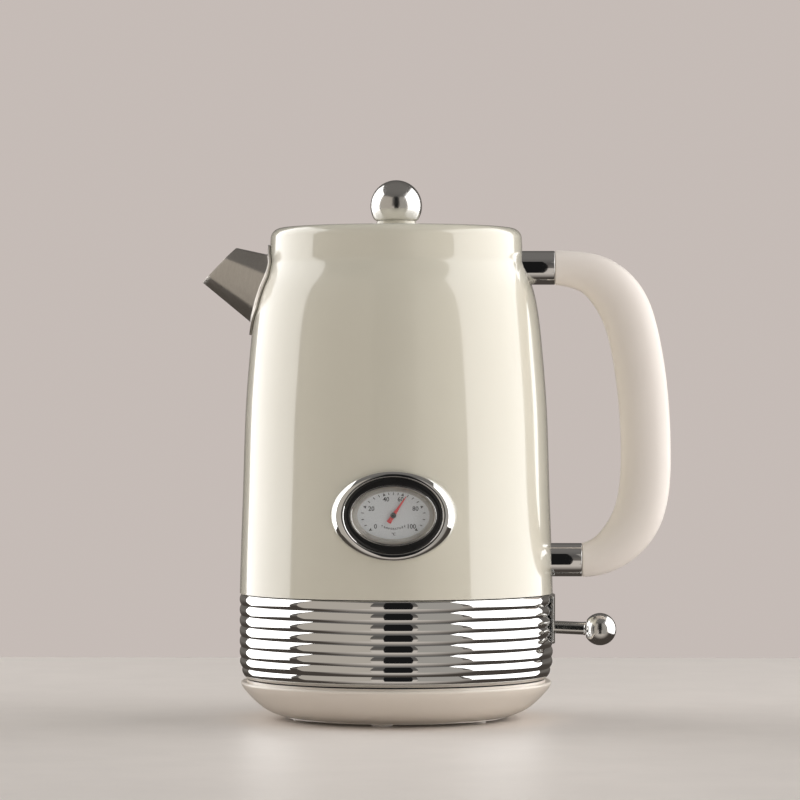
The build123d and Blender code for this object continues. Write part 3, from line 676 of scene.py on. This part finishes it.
def makeBase(shape):
    bowl = curveThrough(shape["bowl"], shape["startWay"], shape["endWay"], 8)
    outline = bowl + kinkArc(bowl[-1], shape["endWay"], shape["lip"], 8)
    outline += [(shape["rimOuter"], shape["lip"][1]), (shape["rimOuter"] - 0.2, shape["rim"]),
                (shape["rimInner"], shape["rim"]), (shape["recessEdge"], shape["recess"]),
                (shape["connector"], shape["recess"]), (shape["connector"], shape["recess"] - shape["sheet"])]
    return lathe("baseShell", outline + shape["inside"], closed=True, steps=256)


fit(makeBase(baseShape), "creamPlastic", "power_base", "cream_plastic", "base_shell")

# the lid
lidShape = {"radius": 50.0, "top": 235.3, "edge": 234.9, "edgeRound": 0.9, "under": 229.0, "skirt": 1.6,
            "insideEdge": 233.2, "insideTop": 233.6, "neck": 9.7, "neckTop": 238.8, "knob": 12.4,
            "knobZ": 245.8, "knobFoot": 0.62}


def makeLid(shape):
    radius, top, curl = shape["radius"], shape["top"], shape["edgeRound"]
    crown = curveThrough([(0, top), (radius / 2, top - 0.1), (radius - curl, shape["edge"])],
                         (1, 0), (1, -0.03), 10)
    outline = crown + arc(radius - curl, shape["edge"] - curl, curl, 75, 0, 5)
    outline += [(radius, shape["under"]), (radius - shape["skirt"], shape["under"]),
                (radius - shape["skirt"], shape["insideEdge"]), (0, shape["insideTop"])]
    fit(lathe("lidCap", outline, steps=224), "creamEnamel", "lid", "cream_enamel", "lid_cap")
    neck = [(0, top + 0.05), (shape["neck"], top + 0.05)]
    neck += [(shape["neck"] - 0.25, top + 1.2), (shape["neck"] - 0.3, shape["neckTop"] - 0.7)]
    neck += arc(shape["neck"] - 0.8, shape["neckTop"] - 0.55, 0.5, 0, 90, 4) + [(0, shape["neckTop"] - 0.05)]
    fit(lathe("lidNeck", neck, steps=96), "creamEnamel", "lid", "cream_enamel", "lid_neck")
    drop = shape["neckTop"] - shape["knobZ"]
    start = math.degrees(math.asin(drop / shape["knob"]))
    flat = shape["knob"] * math.cos(math.radians(start))
    knob = [(0, shape["neckTop"]), (flat - 0.7, shape["neckTop"])]
    foot = shape["knobFoot"]
    knob += arc(flat - foot, shape["neckTop"] + foot, foot, -90, start - 4, 5)
    knob += arc(0, shape["knobZ"], shape["knob"], start + 2.5, 89, 48) + [(0, shape["knobZ"] + shape["knob"])]
    fit(lathe("lidKnob", knob, steps=160), "satinChrome", "lid", "chrome", "lid_knob")


makeLid(lidShape)
print("base and lid made")

# the handle
gripShape = {"stations": [(76.1, 216.1, 16.4, 16.4), (84.5, 215.4, 17.6, 16.8), (93.6, 213.0, 19.9, 17.8),
                          (102.2, 207.0, 22.9, 19.0), (108.6, 198.4, 24.2, 19.8), (112.9, 187.0, 24.1, 20.2),
                          (116.4, 170.0, 24.1, 20.4), (118.9, 148.0, 24.0, 20.4), (119.7, 125.5, 23.9, 20.4),
                          (118.2, 106.0, 24.0, 20.2), (114.4, 94.2, 23.3, 19.6), (108.0, 85.4, 21.4, 18.6),
                          (99.8, 79.0, 18.6, 17.2), (89.1, 76.1, 16.3, 16.3)],
             "around": 72, "edge": 0.6, "endSteps": (1.0, 0.7, 0.35, 0.12)}


def makeGrip(shape):
    line = curveThrough([(x, z, w, d) for x, z, w, d in shape["stations"]], (1, 0, 0.12, 0.04),
                        (-1, 0, -0.12, -0.04), 7)
    loops = []

    def ring(x, z, wide, deep, heading):
        loop = []
        for k in range(shape["around"]):
            a = 2 * math.pi * k / shape["around"]
            across, aside = wide / 2 * math.cos(a), deep / 2 * math.sin(a)
            loop.append(((x - heading[1] * across) * mm, aside * mm, (z + heading[0] * across) * mm))
        return loop

    count = len(line)
    for i, (x, z, wide, deep) in enumerate(line):
        before, after = line[max(i - 1, 0)], line[min(i + 1, count - 1)]
        heading = np.array([after[0] - before[0], after[1] - before[1]])
        heading = heading / np.linalg.norm(heading)
        if 0 < i < count - 1:
            loops.append(ring(x, z, wide, deep, heading))
            continue
        # both ends are rounded over before they meet their ferrules
        heading = np.array([1.0 if i == 0 else -1.0, 0.0])
        for back in shape["endSteps"][::1 if i == 0 else -1]:
            inset = shape["edge"] * (1 - math.sqrt(max(0, 1 - back ** 2)))
            outer = x + shape["edge"] * (1 - back)
            loops.append(ring(outer, z, wide - 2 * inset, deep - 2 * inset, heading))
    grip = stripMesh("handleGrip", loops)
    tidyMesh(grip, fillHoles=True)
    return grip


def makeFerrule(name, node, radius, z, start, end):
    outline = [(0, start), (radius, start), (radius, end - 0.5)]
    outline += arc(radius - 0.5, end - 0.5, 0.5, 0, 90, 4) + [(0, end)]
    piece = lathe(name, outline, steps=128, centre=(0, 0, z * mm), axis="x")
    fit(piece, "chrome", "kettle", "chrome", node)


fit(makeGrip(gripShape), "softCream", "kettle", "soft_cream", "handle_grip")
makeFerrule("upperFerrule", "upper_ferrule", 8.1, 216.1, 60.0, 76.05)
makeFerrule("lowerFerrule", "lower_ferrule", 8.0, 76.1, 73.6, 89.05)
print("handle made")

# the spout
spoutShape = {"rootX": -58.0, "root": [(8.5, 221.2), (20.5, 210.8), (14.0, 188.6), (3.0, 180.2)],
              "tip": (-93.0, 209.1), "mouthTop": (-76.7, 225.5),
              "mouth": [(6.0, 23.12), (10.0, 16.2), (6.6, 4.4), (2.0, 0.0)],
              "rootRound": 8.0, "mouthRound": 4.5, "sheet": 1.0, "steps": 16, "fold": 0.9, "swell": 0.045,
              "flange": [(6.5, 227.0), (22.0, 211.5), (17.5, 196.0), (3.5, 184.0)], "flangeRound": 3.4,
              "flangeGap": 0.3, "flangeThick": 0.9}


def roundedOutline(half, rounding, swell=0.0, perCorner=6, perSide=6):
    # both sides of the outline, each corner rounded, evenly filled along the straights
    corners = [np.array(p, float) for p in half] + [np.array((-x, y), float) for x, y in reversed(half)]
    loop, n = [], len(corners)
    middle = sum(corners) / n
    pieces = []
    for i, corner in enumerate(corners):
        before, after = corners[i - 1], corners[(i + 1) % n]
        a, b = before - corner, after - corner
        reach = min(np.linalg.norm(a), np.linalg.norm(b))
        a, b = a / np.linalg.norm(a), b / np.linalg.norm(b)
        turn = math.acos(max(-1, min(1, float(a.dot(b)))))
        back = min(rounding / math.tan(turn / 2), reach * 0.45)
        p, q = corner + a * back, corner + b * back
        bend = []
        for k in range(perCorner + 1):
            t = k / perCorner
            bend.append((1 - t) ** 2 * p + 2 * t * (1 - t) * corner + t ** 2 * q)
        pieces.append(bend)
    for i, bend in enumerate(pieces):
        following = pieces[(i + 1) % n]
        loop += bend
        run = following[0] - bend[-1]
        out = np.array((-run[1], run[0]))
        if out.dot(bend[-1] - middle) < 0:
            out = -out
        for k in range(1, perSide):
            t = k / perSide
            loop.append(bend[-1] + run * t + out * swell * 4 * t * (1 - t))
    return loop


def onBody(y, z, above):
    # the point of the body's skin straight behind y and z, a little above it
    return np.array((-math.sqrt((bodyRadius(z) + above) ** 2 - y * y), y, z))


def spoutLines(shape):
    # straight lines of the folded sheet, each from where it leaves the flange to the mouth
    tip, top = np.array(shape["tip"]), np.array(shape["mouthTop"])
    way = (top - tip) / np.linalg.norm(top - tip)
    lines = []
    above = shape["flangeGap"] + shape["flangeThick"]
    roots = roundedOutline(shape["root"], shape["rootRound"], shape["swell"])
    mouths = roundedOutline(shape["mouth"], shape["mouthRound"], shape["swell"])
    for (y, z), (across, up) in zip(roots, mouths):
        root = np.array((shape["rootX"], y, z))
        mouth = np.array((tip[0] + way[0] * up, across, tip[1] + way[1] * up))
        low, high = 0.0, 1.0
        for _ in range(30):
            t = (low + high) / 2
            spot = root + (mouth - root) * t
            inside = math.hypot(spot[0], spot[1]) < bodyRadius(spot[2]) + above
            low, high = (t, high) if inside else (low, t)
        lines.append((root + (mouth - root) * high, mouth))
    return lines


def makeSpout(shape):
    lines = spoutLines(shape)
    above = shape["flangeGap"] + shape["flangeThick"]
    outer = roundedOutline(shape["flange"], shape["flangeRound"])
    loops = []
    for i in range(5):
        t = i / 5
        loops.append([tuple(onBody(y + (foot[1] - y) * t, z + (foot[2] - z) * t, above) * mm)
                      for (y, z), (foot, mouth) in zip(outer, lines)])
    for i in range(shape["steps"] + 1):
        t = (i / shape["steps"]) ** 1.3
        loops.append([tuple((foot + (mouth - foot) * t) * mm) for foot, mouth in lines])
    spout = stripMesh("spoutShell", loops)
    soften(spout, shape["fold"], 4, 50.0, 44.0)
    thicken(spout, shape["sheet"] * 0.9, offset=-1.0)
    tidyMesh(spout, 44.0)
    soften(spout, 0.14, 2, 60.0, 32.0)
    fit(spout, "satinSteel", "kettle", "satin_steel", "spout")
    wide = roundedOutline([(y - 0.4, z - (0.4 if i < 2 else -0.4)) for i, (y, z) in
                           enumerate(shape["flange"])], shape["flangeRound"])
    loops, above = [], shape["flangeGap"] - 0.02
    for i in range(7):
        t = i / 6
        loops.append([tuple(onBody(y + (foot[1] * 0.97 - y) * t, z + (foot[2] - z) * t, above) * mm)
                      for (y, z), (foot, mouth) in zip(wide, lines)])
    gasket = stripMesh("spoutGasket", loops)
    thicken(gasket, shape["flangeGap"] - 0.05, offset=-1.0)
    tidyMesh(gasket, 32.0)
    fit(gasket, "silicone", "kettle", "silicone", "spout_gasket")


makeSpout(spoutShape)
print("spout made")

# the switch lever
leverShape = {"pivot": (66.0, 44.25), "droop": 2.6, "rod": 3.05, "rodFrom": 4.2, "collarBack": 6.9,
              "collarStep": 0.2, "ball": 7.75, "ballFlat": 6.5, "reach": 31.8}


def turnAbout(piece, centre, droop):
    # turns a finished mesh about the Y axis, so its object stays unturned
    c, s = math.cos(math.radians(droop)), math.sin(math.radians(droop))
    for v in piece.data.vertices:
        x, z = v.co.x - centre[0], v.co.z - centre[1]
        v.co.x, v.co.z = centre[0] + x * c + z * s, centre[1] - x * s + z * c
    piece.data.update()


def makeLever(shape):
    px, pz = shape["pivot"]
    reach, ball, rod = shape["reach"], shape["ball"], shape["rod"]
    collar, collarEnd = rod + shape["collarStep"], reach - shape["collarBack"]
    outline = [(0, shape["rodFrom"]), (rod, shape["rodFrom"]), (rod, collarEnd - 0.9),
               (collar, collarEnd - 0.6), (collar, collarEnd), (0, collarEnd)]
    rodPiece = lathe("leverRod", outline, steps=64, centre=(px * mm, 0, pz * mm), axis="x", sharp=30)
    start = math.degrees(math.acos(-shape["ballFlat"] / ball))
    face = ball * math.sin(math.radians(start))
    ballLine = [(0, reach - shape["ballFlat"]), (face, reach - shape["ballFlat"])]
    ballLine += [(ball * math.sin(math.radians(a)), reach + ball * math.cos(math.radians(a)))
                 for a in np.linspace(start, 1.0, 40)] + [(0, reach + ball)]
    ballPiece = lathe("leverBall", ballLine, steps=112, centre=(px * mm, 0, pz * mm), axis="x", sharp=30)
    for piece, node in ((rodPiece, "lever_rod"), (ballPiece, "lever_ball")):
        turnAbout(piece, (px * mm, pz * mm), shape["droop"])
        fit(piece, "satinChrome", "lever", "chrome", node)


def roundedBox(halfWide, low, high, rounding):
    return roundedOutline([(halfWide, high), (halfWide, low)], rounding, perCorner=10, perSide=10)


def makeEscutcheon(shape):
    inner = roundedBox(shape["slotHalf"], shape["slotLow"], shape["slotHigh"], shape["slotRound"])
    outer = roundedBox(shape["half"], shape["low"], shape["high"], shape["round"])
    loops = []
    for i in range(11):
        t = i / 10
        loop = []
        for p, q in zip(inner, outer):
            y, z = p[0] * (1 - t) + q[0] * t, p[1] * (1 - t) + q[1] * t
            loop.append((math.sqrt(shape["front"] ** 2 - y * y) * mm, y * mm, z * mm))
        loops.append(loop)
    plate = stripMesh("leverPlate", loops)
    thicken(plate, shape["thick"], offset=-1.0)
    tidyMesh(plate, 35.0)
    soften(plate, 0.22, 3, 50.0, 35.0)
    return plate


plateShape = {"half": 13.0, "low": 36.5, "high": 59.5, "round": 2.2, "front": 76.2, "thick": 0.9,
              "slotHalf": 3.8, "slotLow": 37.6, "slotHigh": 48.2, "slotRound": 2.0}
makeLever(leverShape)
fit(makeEscutcheon(plateShape), "chrome", "kettle", "chrome", "lever_escutcheon")
print("lever made")

# the dial
# a ring is its outer oval, inner oval, back, front, edge and, for a sloping one, the oval it slopes to
dialShape = {"bezel": (29.3, 21.1), "hole": (22.7, 17.7), "front": 76.6, "around": 160,
             "rows": 26, "climb": 0.85, "crestAt": 0.86, "swell": 0.93, "curl": 0.9,
             "gasket": ((22.6, 17.6), (20.1, 14.1), 73.0, 76.0, 0.5),
             "trim": ((20.0, 14.0), (19.2, 13.2), 72.0, 76.2, 0.25),
             "slope": ((19.15, 13.15), (18.9, 12.9), 72.0, 75.9, 0.1, (16.7, 11.0)),
             "face": (17.6, 12.6, 71.4, 71.9), "lens": (17.9, 11.9, 74.6, 75.4), "plateDepth": 71.9,
             "ticks": (14.4, 10.05), "tickCount": 21, "tickSize": (0.36, 0.06, 1.15), "sweep": 122.0,
             "marker": [(-0.7, -0.6), (0.7, -0.6), (0, 0.7)], "numberAt": 0.77, "numberSize": 2.9,
             "unitAt": 0.86, "unitSize": 1.7, "wordAt": 0.62, "wordSize": 1.2, "wordSpread": 92.0}


def makeBezel(shape):
    around, rows, climb, crest = shape["around"], shape["rows"], shape["climb"], shape["crestAt"]
    (a, b), (c, d), front, swell = shape["bezel"], shape["hole"], shape["front"], shape["swell"]

    def wallDepth(x, z):
        return math.sqrt(bodyRadius(dialZ / mm + z) ** 2 - x * x) + 0.05

    loops = []
    # up over the swell from the wall, then down the short inner side
    for i in range(rows + 1):
        t = i / rows
        loop = []
        for k in range(around):
            turn = 2 * math.pi * k / around
            foot = wallDepth(a * math.cos(turn), b * math.sin(turn))
            if t < climb:
                bend = t / climb * math.pi / 2
                across = crest * (1 - math.cos(bend * swell)) / (1 - math.cos(math.pi / 2 * swell))
                depth = foot + (front - foot) * math.sin(bend)
            else:
                bend = (t - climb) / (1 - climb) * math.pi / 2
                across = crest + (1 - crest) * math.sin(bend)
                depth = front - shape["curl"] * (1 - math.cos(bend))
            x, z = (a + (c - a) * across) * math.cos(turn), (b + (d - b) * across) * math.sin(turn)
            loop.append((x * mm, -depth * mm, dialZ + z * mm))
        loops.append(loop)
    last = ovalLoop(c, d, 0, dialZ, around)
    loops.append([(x, -wallDepth(x / mm, (z - dialZ) / mm) * mm, z) for x, y, z in last])
    return stripMesh("dialBezel", loops, closedAcross=True, sharp=60)


def makeRing(name, outer, inner, back, front, edge, slopeTo=None):
    # an oval ring, optionally with a sloping inner face
    rows = [(outer, 0, back), (outer, 0, front - edge), (outer, -edge * 0.3, front - edge * 0.3),
            (outer, -edge, front), (inner, edge, front), (inner, edge * 0.3, front - edge * 0.3),
            (inner, 0, front - edge), (slopeTo or inner, 0, back)]
    loops = [ovalLoop(oval[0] + grow, oval[1] + grow, depth, dialZ, dialShape["around"])
             for oval, grow, depth in rows]
    return stripMesh(name, loops, closedAcross=True, sharp=50)


fit(makeBezel(dialShape), "chrome", "kettle", "chrome", "dial_bezel")
fit(makeRing("dialGasket", *dialShape["gasket"]), "blackGloss", "kettle", "black_plastic", "dial_gasket")
fit(makeRing("dialTrim", *dialShape["trim"]), "chrome", "kettle", "chrome", "dial_trim")
fit(makeRing("dialSlope", *dialShape["slope"]), "dialRim", "kettle", "chrome")
fit(ovalBlock("dialFace", *dialShape["face"], dialZ), "dialSilver", "kettle", "dial_silver", "dial_face")
fit(ovalBlock("dialLens", *dialShape["lens"], dialZ), "dialGlass", "kettle", "clear_glass", "dial_lens")


def dialPoint(degrees, share, depth):
    # a point on the scale: degrees clockwise from the top, share of the tick oval
    a, b = dialShape["ticks"]
    turn = math.radians(degrees)
    reach = share / math.sqrt((math.sin(turn) / a) ** 2 + (math.cos(turn) / b) ** 2)
    return Vector((reach * math.sin(turn) * mm, -depth * mm, dialZ + reach * math.cos(turn) * mm))


def flatShape(name, points, back, front):
    # a thin flat outline, given in millimetres from the dial's middle
    loops = [[(x * mm, -depth * mm, dialZ + y * mm) for x, y in points] for depth in (back, front)]
    piece = stripMesh(name, loops, sharp=30)
    tidyMesh(piece, 30, fillHoles=True)
    return piece


def buildTickTree():
    number = "NodeSocketFloat"
    tree, given, result = newNodesTree("scaleTicks", [("Count", "NodeSocketInt", 21), ("Sweep", number, 2.13),
        ("HalfWidth", number, 0.0144), ("HalfHeight", number, 0.01005), ("Centre", "NodeSocketVector", None),
        ("Size", "NodeSocketVector", None), ("Finish", "NodeSocketMaterial", None)])
    ins, do = given.outputs, partial(calc, tree)
    index = tree.nodes.new("GeometryNodeInputIndex").outputs[0]
    step = do("DIVIDE", index, do("SUBTRACT", ins["Count"], 1.0))
    turn = do("MULTIPLY", do("SUBTRACT", do("MULTIPLY", step, 2.0), 1.0), ins["Sweep"])
    sine, cosine = do("SINE", turn), do("COSINE", turn)
    flat = do("POWER", do("DIVIDE", sine, ins["HalfWidth"]), 2.0)
    tall = do("POWER", do("DIVIDE", cosine, ins["HalfHeight"]), 2.0)
    reach = do("DIVIDE", 1.0, do("SQRT", do("ADD", flat, tall)))
    place = tree.nodes.new("ShaderNodeVectorMath")
    tick = tree.nodes.new("GeometryNodeMeshCube")
    point = joined(tree, X=do("MULTIPLY", reach, sine), Z=do("MULTIPLY", reach, cosine))
    wire(tree, (point, place.inputs[0]), (ins["Centre"], place.inputs[1]), (ins["Size"], tick.inputs["Size"]))
    copies = onPoints(tree, ins["Count"], place.outputs[0], tick.outputs["Mesh"])
    tree.links.new(joined(tree, Y=turn), copies.inputs["Rotation"])
    return closeTree(tree, copies.outputs["Instances"], ins["Finish"], result)


def makeScale(shape):
    ticks = runTree("scaleTicks", buildTickTree(), {"Count": shape["tickCount"],
        "Sweep": math.radians(shape["sweep"]), "HalfWidth": shape["ticks"][0] * mm,
        "HalfHeight": shape["ticks"][1] * mm, "Centre": (0.0, -(shape["plateDepth"] + 0.03) * mm, dialZ),
        "Size": tuple(v * mm for v in shape["tickSize"]), "Finish": materials["dialInk"]})
    fit(ticks, "dialInk", "kettle", "dial_silver")
    for value in range(0, 101, 20):
        angle = -shape["sweep"] + 2 * shape["sweep"] * value / 100
        mark = dialPoint(angle, 1.0, 0)
        x, z = mark.x / mm, (mark.z - dialZ) / mm
        c, s = math.cos(math.radians(angle)), math.sin(math.radians(angle))
        pointer = [(x + u * c + v * s, z - u * s + v * c) for u, v in shape["marker"]]
        mark = flatShape(f"scaleMark{value}", pointer, shape["plateDepth"], 72.0)
        fit(mark, "dialInk", "kettle", "dial_silver")
        writeText(f"scaleNumber{value}", str(value), angle, shape["numberAt"], shape["numberSize"])
    writeText("scaleUnit", "°C", 180.0, shape["unitAt"], shape["unitSize"])
    # the plain word under the hub, letter by letter along a shallow curve
    word, spread = "TEMPERATURE", shape["wordSpread"]
    for k, letter in enumerate(word):
        turn = 180.0 + spread / 2 - spread * k / (len(word) - 1)
        writeText(f"scaleLetter{k}", letter, turn, shape["wordAt"], shape["wordSize"])


def writeText(name, words, angle, share, size):
    data = bpy.data.curves.new(name, "FONT")
    data.body = words
    data.size = size * mm
    data.align_x = "CENTER"
    data.align_y = "CENTER"
    data.extrude = 0.03 * mm
    data.resolution_u = 3
    data.offset = 0.05 * mm
    label = linked(name, data)
    graph = bpy.context.evaluated_depsgraph_get()
    mesh = bpy.data.meshes.new_from_object(label.evaluated_get(graph))
    bpy.data.objects.remove(label)
    spot = dialPoint(angle, share, dialShape["plateDepth"] + 0.04)
    for v in mesh.vertices:
        v.co = Vector((v.co.x, -v.co.z, v.co.y)) + spot
    fit(linked(name, mesh), "dialInk", "kettle", "dial_silver")


makeScale(dialShape)


needleShape = {"rest": 34.0, "side": [(0.16, 10.5), (0.5, 5.0), (0.85, 0.9), (1.15, 0.55), (1.3, 0.0),
                                      (1.15, -0.55), (0.95, -1.2), (1.0, -2.2), (1.15, -3.9), (0.0, -4.1)],
               "back": 72.8, "front": 73.1,
               "hub": [(0, 68.5), (0.8, 68.5), (0.8, 73.2), (1.35, 73.2), (1.35, 73.5)], "hubTop": 73.9}


def makeNeedle(shape):
    lean = math.radians(shape["rest"])
    points = shape["side"] + [(-x, y) for x, y in reversed(shape["side"][:-1])]
    turned = [(x * math.cos(lean) + y * math.sin(lean), -x * math.sin(lean) + y * math.cos(lean))
              for x, y in points]
    needle = flatShape("dialNeedle", turned, shape["back"], shape["front"])
    soften(needle, 0.06, 2, 50.0, 30.0)
    fit(needle, "needleRed", "needle", "red_paint", "dial_needle")
    hub = shape["hub"] + arc(1.0, shape["hubTop"] - 0.35, 0.35, 0, 90, 4) + [(0, shape["hubTop"])]
    piece = lathe("needleHub", hub, steps=48, centre=(0, 0, dialZ), axis="-y")
    fit(piece, "blackGloss", "needle", "black_plastic", "needle_hub")


makeNeedle(needleShape)
print("dial made")

# the feet, by rule
footShape = {"count": 6, "ring": 47.5, "radius": 5.0, "height": 1.98, "start": -97.0}


def buildFeetTree():
    number = "NodeSocketFloat"
    tree, given, result = newNodesTree("footRing", [("Count", "NodeSocketInt", 6), ("Ring", number, 0.0475),
        ("Start", number, 0.0), ("Finish", "NodeSocketMaterial", None)])
    ins, do = given.outputs, partial(calc, tree)
    index = tree.nodes.new("GeometryNodeInputIndex").outputs[0]
    turn = do("ADD", do("MULTIPLY", do("DIVIDE", index, ins["Count"]), 2 * math.pi), ins["Start"])
    point = joined(tree, X=do("MULTIPLY", do("COSINE", turn), ins["Ring"]),
                   Y=do("MULTIPLY", do("SINE", turn), ins["Ring"]))
    copies = onPoints(tree, ins["Count"], point, ins["Geometry"])
    return closeTree(tree, copies.outputs["Instances"], ins["Finish"], result)


def makeFeet(shape):
    r, h = shape["radius"], shape["height"]
    one = lathe("onePad", [(0, 0)] + arc(r - 0.5, 0.5, 0.5, -90, 0, 4) + [(r, h), (0, h)], steps=48)
    values = {"Count": shape["count"], "Ring": shape["ring"] * mm, "Start": math.radians(shape["start"]),
              "Finish": materials["paleRubber"]}
    pads = runTree("baseFeet", buildFeetTree(), values, base=one.data.copy())
    bpy.data.objects.remove(one)
    tidyMesh(pads)
    fit(pads, "paleRubber", "power_base", "silicone", "base_feet")


makeFeet(footShape)

# finishes for the CAD pieces that stay
slotFinish = {"cream_enamel": "creamEnamel", "cream_plastic": "creamPlastic", "soft_cream": "softCream",
              "chrome": "chrome", "satin_steel": "innerSteel", "silicone": "silicone",
              "aluminium": "castAluminium", "dial_silver": "dialSilver", "contact_brass": "brightBrass",
              "black_plastic": "blackPlastic", "clear_glass": "dialGlass", "red_paint": "needleRed"}
for entry in frame["record"]["subparts"]:
    node = frame["nodes"][entry["node"]]
    finish = materials[slotFinish[entry["material_slot"]]]
    if not node.material_slots:
        node.data.materials.append(finish)
    for slot in node.material_slots:
        slot.material = finish
print("finishes set")

# floor and light
studio = {"floorBack": 0.44, "floorFront": -1.2, "floorSide": 2.5,
          "wall": (0.56, 0.50, 0.47), "table": (0.80, 0.75, 0.71), "roomLow": (0.065, 0.055, 0.047),
          "roomLevel": (0.16, 0.145, 0.13), "roomHigh": (0.17, 0.16, 0.15), "roomMiddle": 0.55,
          "tableMirrored": (0.56, 0.51, 0.46), "target": (0, 0, 0.12),
          # name, azimuth, distance, height, width, tall, strength, colour, and whether gloss shows it
          "boxes": [("softLeft", -111, 1.25, 0.45, 1.55, 1.9, 2.35, (1.0, 0.99, 0.975), True),
                    ("softRight", 95, 1.25, 0.45, 2.2, 1.9, 2.3, (1.0, 0.99, 0.98), True),
                    ("softAbove", 0, 0.2, 1.9, 1.4, 1.4, 0.7, (1.0, 0.99, 0.98), False),
                    ("frontFill", 8, 2.2, 0.5, 1.6, 1.6, 1.1, (1.0, 0.985, 0.96), False)],
          # name, azimuth, distance, height, width, tall, colour
          "cards": [("flagFront", 2.5, 1.5, 0.3, 0.55, 2.4, (0.01, 0.01, 0.01)),
                    ("cardLeft", -46, 1.55, 0.3, 1.7, 2.4, (0.45, 0.41, 0.36)),
                    ("cardRight", 33, 1.6, 0.3, 0.95, 2.4, (0.36, 0.34, 0.31))]}


def makeFloor(setup):
    s, near, far = setup["floorSide"], setup["floorFront"], setup["floorBack"]
    floor = newObject("floor", [(-s, near, 0), (s, near, 0), (s, far, 0), (-s, far, 0)], [(0, 1, 2, 3)])
    material, tree, shader, place = newMaterial("floorPale")
    tone = groupNode(tree, toneGroup, Scale=30.0, First=(*setup["table"], 1),
                     Second=(*[v * 0.97 for v in setup["table"]], 1))
    tree.links.new(place, tone.inputs["Vector"])
    tree.links.new(tone.outputs["Color"], shader.inputs["Base Color"])
    shader.inputs["Roughness"].default_value = 0.45
    floor.data.materials.append(material)
    floor.visible_glossy = False


def aim(thing, place, target):
    thing.location = place
    thing.rotation_euler = (Vector(target) - Vector(place)).to_track_quat("-Z", "Y").to_euler()


def around(azimuth, distance, height):
    # azimuth is counted from the camera side, positive towards the handle
    a = math.radians(azimuth)
    return (distance * math.sin(a), -distance * math.cos(a), height)


def softbox(name, azimuth, distance, height, width, tall, strength, colour, inGloss):
    data = bpy.data.lights.new(name, "AREA")
    data.shape = "RECTANGLE"
    data.size = width
    data.size_y = tall
    data.energy = strength * width * tall * math.pi
    data.color = colour
    light = linked(name, data)
    aim(light, around(azimuth, distance, height), studio["target"])
    light.visible_glossy = inGloss


def card(name, azimuth, distance, height, width, tall, colour):
    # a reflector or flag that only shows in gloss
    material = bpy.data.materials.new(name)
    material.use_nodes = True
    tree = material.node_tree
    tree.nodes.clear()
    glow = tree.nodes.new("ShaderNodeEmission")
    glow.inputs["Color"].default_value = (*colour, 1)
    output = tree.nodes.new("ShaderNodeOutputMaterial")
    tree.links.new(glow.outputs[0], output.inputs["Surface"])
    w, h = width / 2, tall / 2
    piece = newObject(name, [(-w, -h, 0), (w, -h, 0), (w, h, 0), (-w, h, 0)], [(0, 1, 2, 3)])
    aim(piece, around(azimuth, distance, height), (0, 0, height))
    piece.data.materials.append(material)
    for kind in ("camera", "diffuse", "shadow", "transmission"):
        setattr(piece, "visible_" + kind, False)


def makeWorld(setup):
    # the backdrop shows pale; the room that the kettle mirrors is dim above and behind
    world = bpy.data.worlds.new("studio")
    world.use_nodes = True
    tree = world.node_tree
    pale = tree.nodes["Background"]
    room = tree.nodes.new("ShaderNodeBackground")
    pale.inputs["Color"].default_value = (*setup["wall"], 1)
    height = split(tree, tree.nodes.new("ShaderNodeTexCoord").outputs["Generated"])
    ramp = tree.nodes.new("ShaderNodeValToRGB")
    ramp.color_ramp.elements[0].position = 0.42
    ramp.color_ramp.elements[0].color = (*setup["roomLow"], 1)
    ramp.color_ramp.elements[1].position = 0.95
    ramp.color_ramp.elements[1].color = (*setup["roomHigh"], 1)
    ramp.color_ramp.elements.new(0.5).color = (*setup["roomLevel"], 1)
    ramp.color_ramp.elements.new(0.72).color = (*[v * setup["roomMiddle"] for v in setup["roomHigh"]], 1)
    half = calc(tree, "ADD", calc(tree, "MULTIPLY", height["Z"], 0.5), 0.5)
    tree.links.new(half, ramp.inputs["Fac"])
    ahead = ranged(tree, height["Y"], -0.75, -0.3, 1.0, 0.0)
    below = ranged(tree, height["Z"], -0.12, -0.02, 1.0, 0.0)
    share = calc(tree, "MULTIPLY", ahead, below)
    table = mixed(tree, share, ramp.outputs["Color"], (*setup["tableMirrored"], 1))
    seen = tree.nodes.new("ShaderNodeLightPath").outputs["Is Camera Ray"]
    mix = tree.nodes.new("ShaderNodeMixShader")
    wire(tree, (table, room.inputs["Color"]), (seen, mix.inputs[0]), (room.outputs[0], mix.inputs[1]),
         (pale.outputs[0], mix.inputs[2]), (mix.outputs[0], tree.nodes["World Output"].inputs["Surface"]))
    bpy.context.scene.world = world


makeFloor(studio)
makeWorld(studio)
for box in studio["boxes"]:
    softbox(*box)
for panel in studio["cards"]:
    card(*panel)
bpy.context.scene.view_settings.view_transform = "Standard"
print("light set")
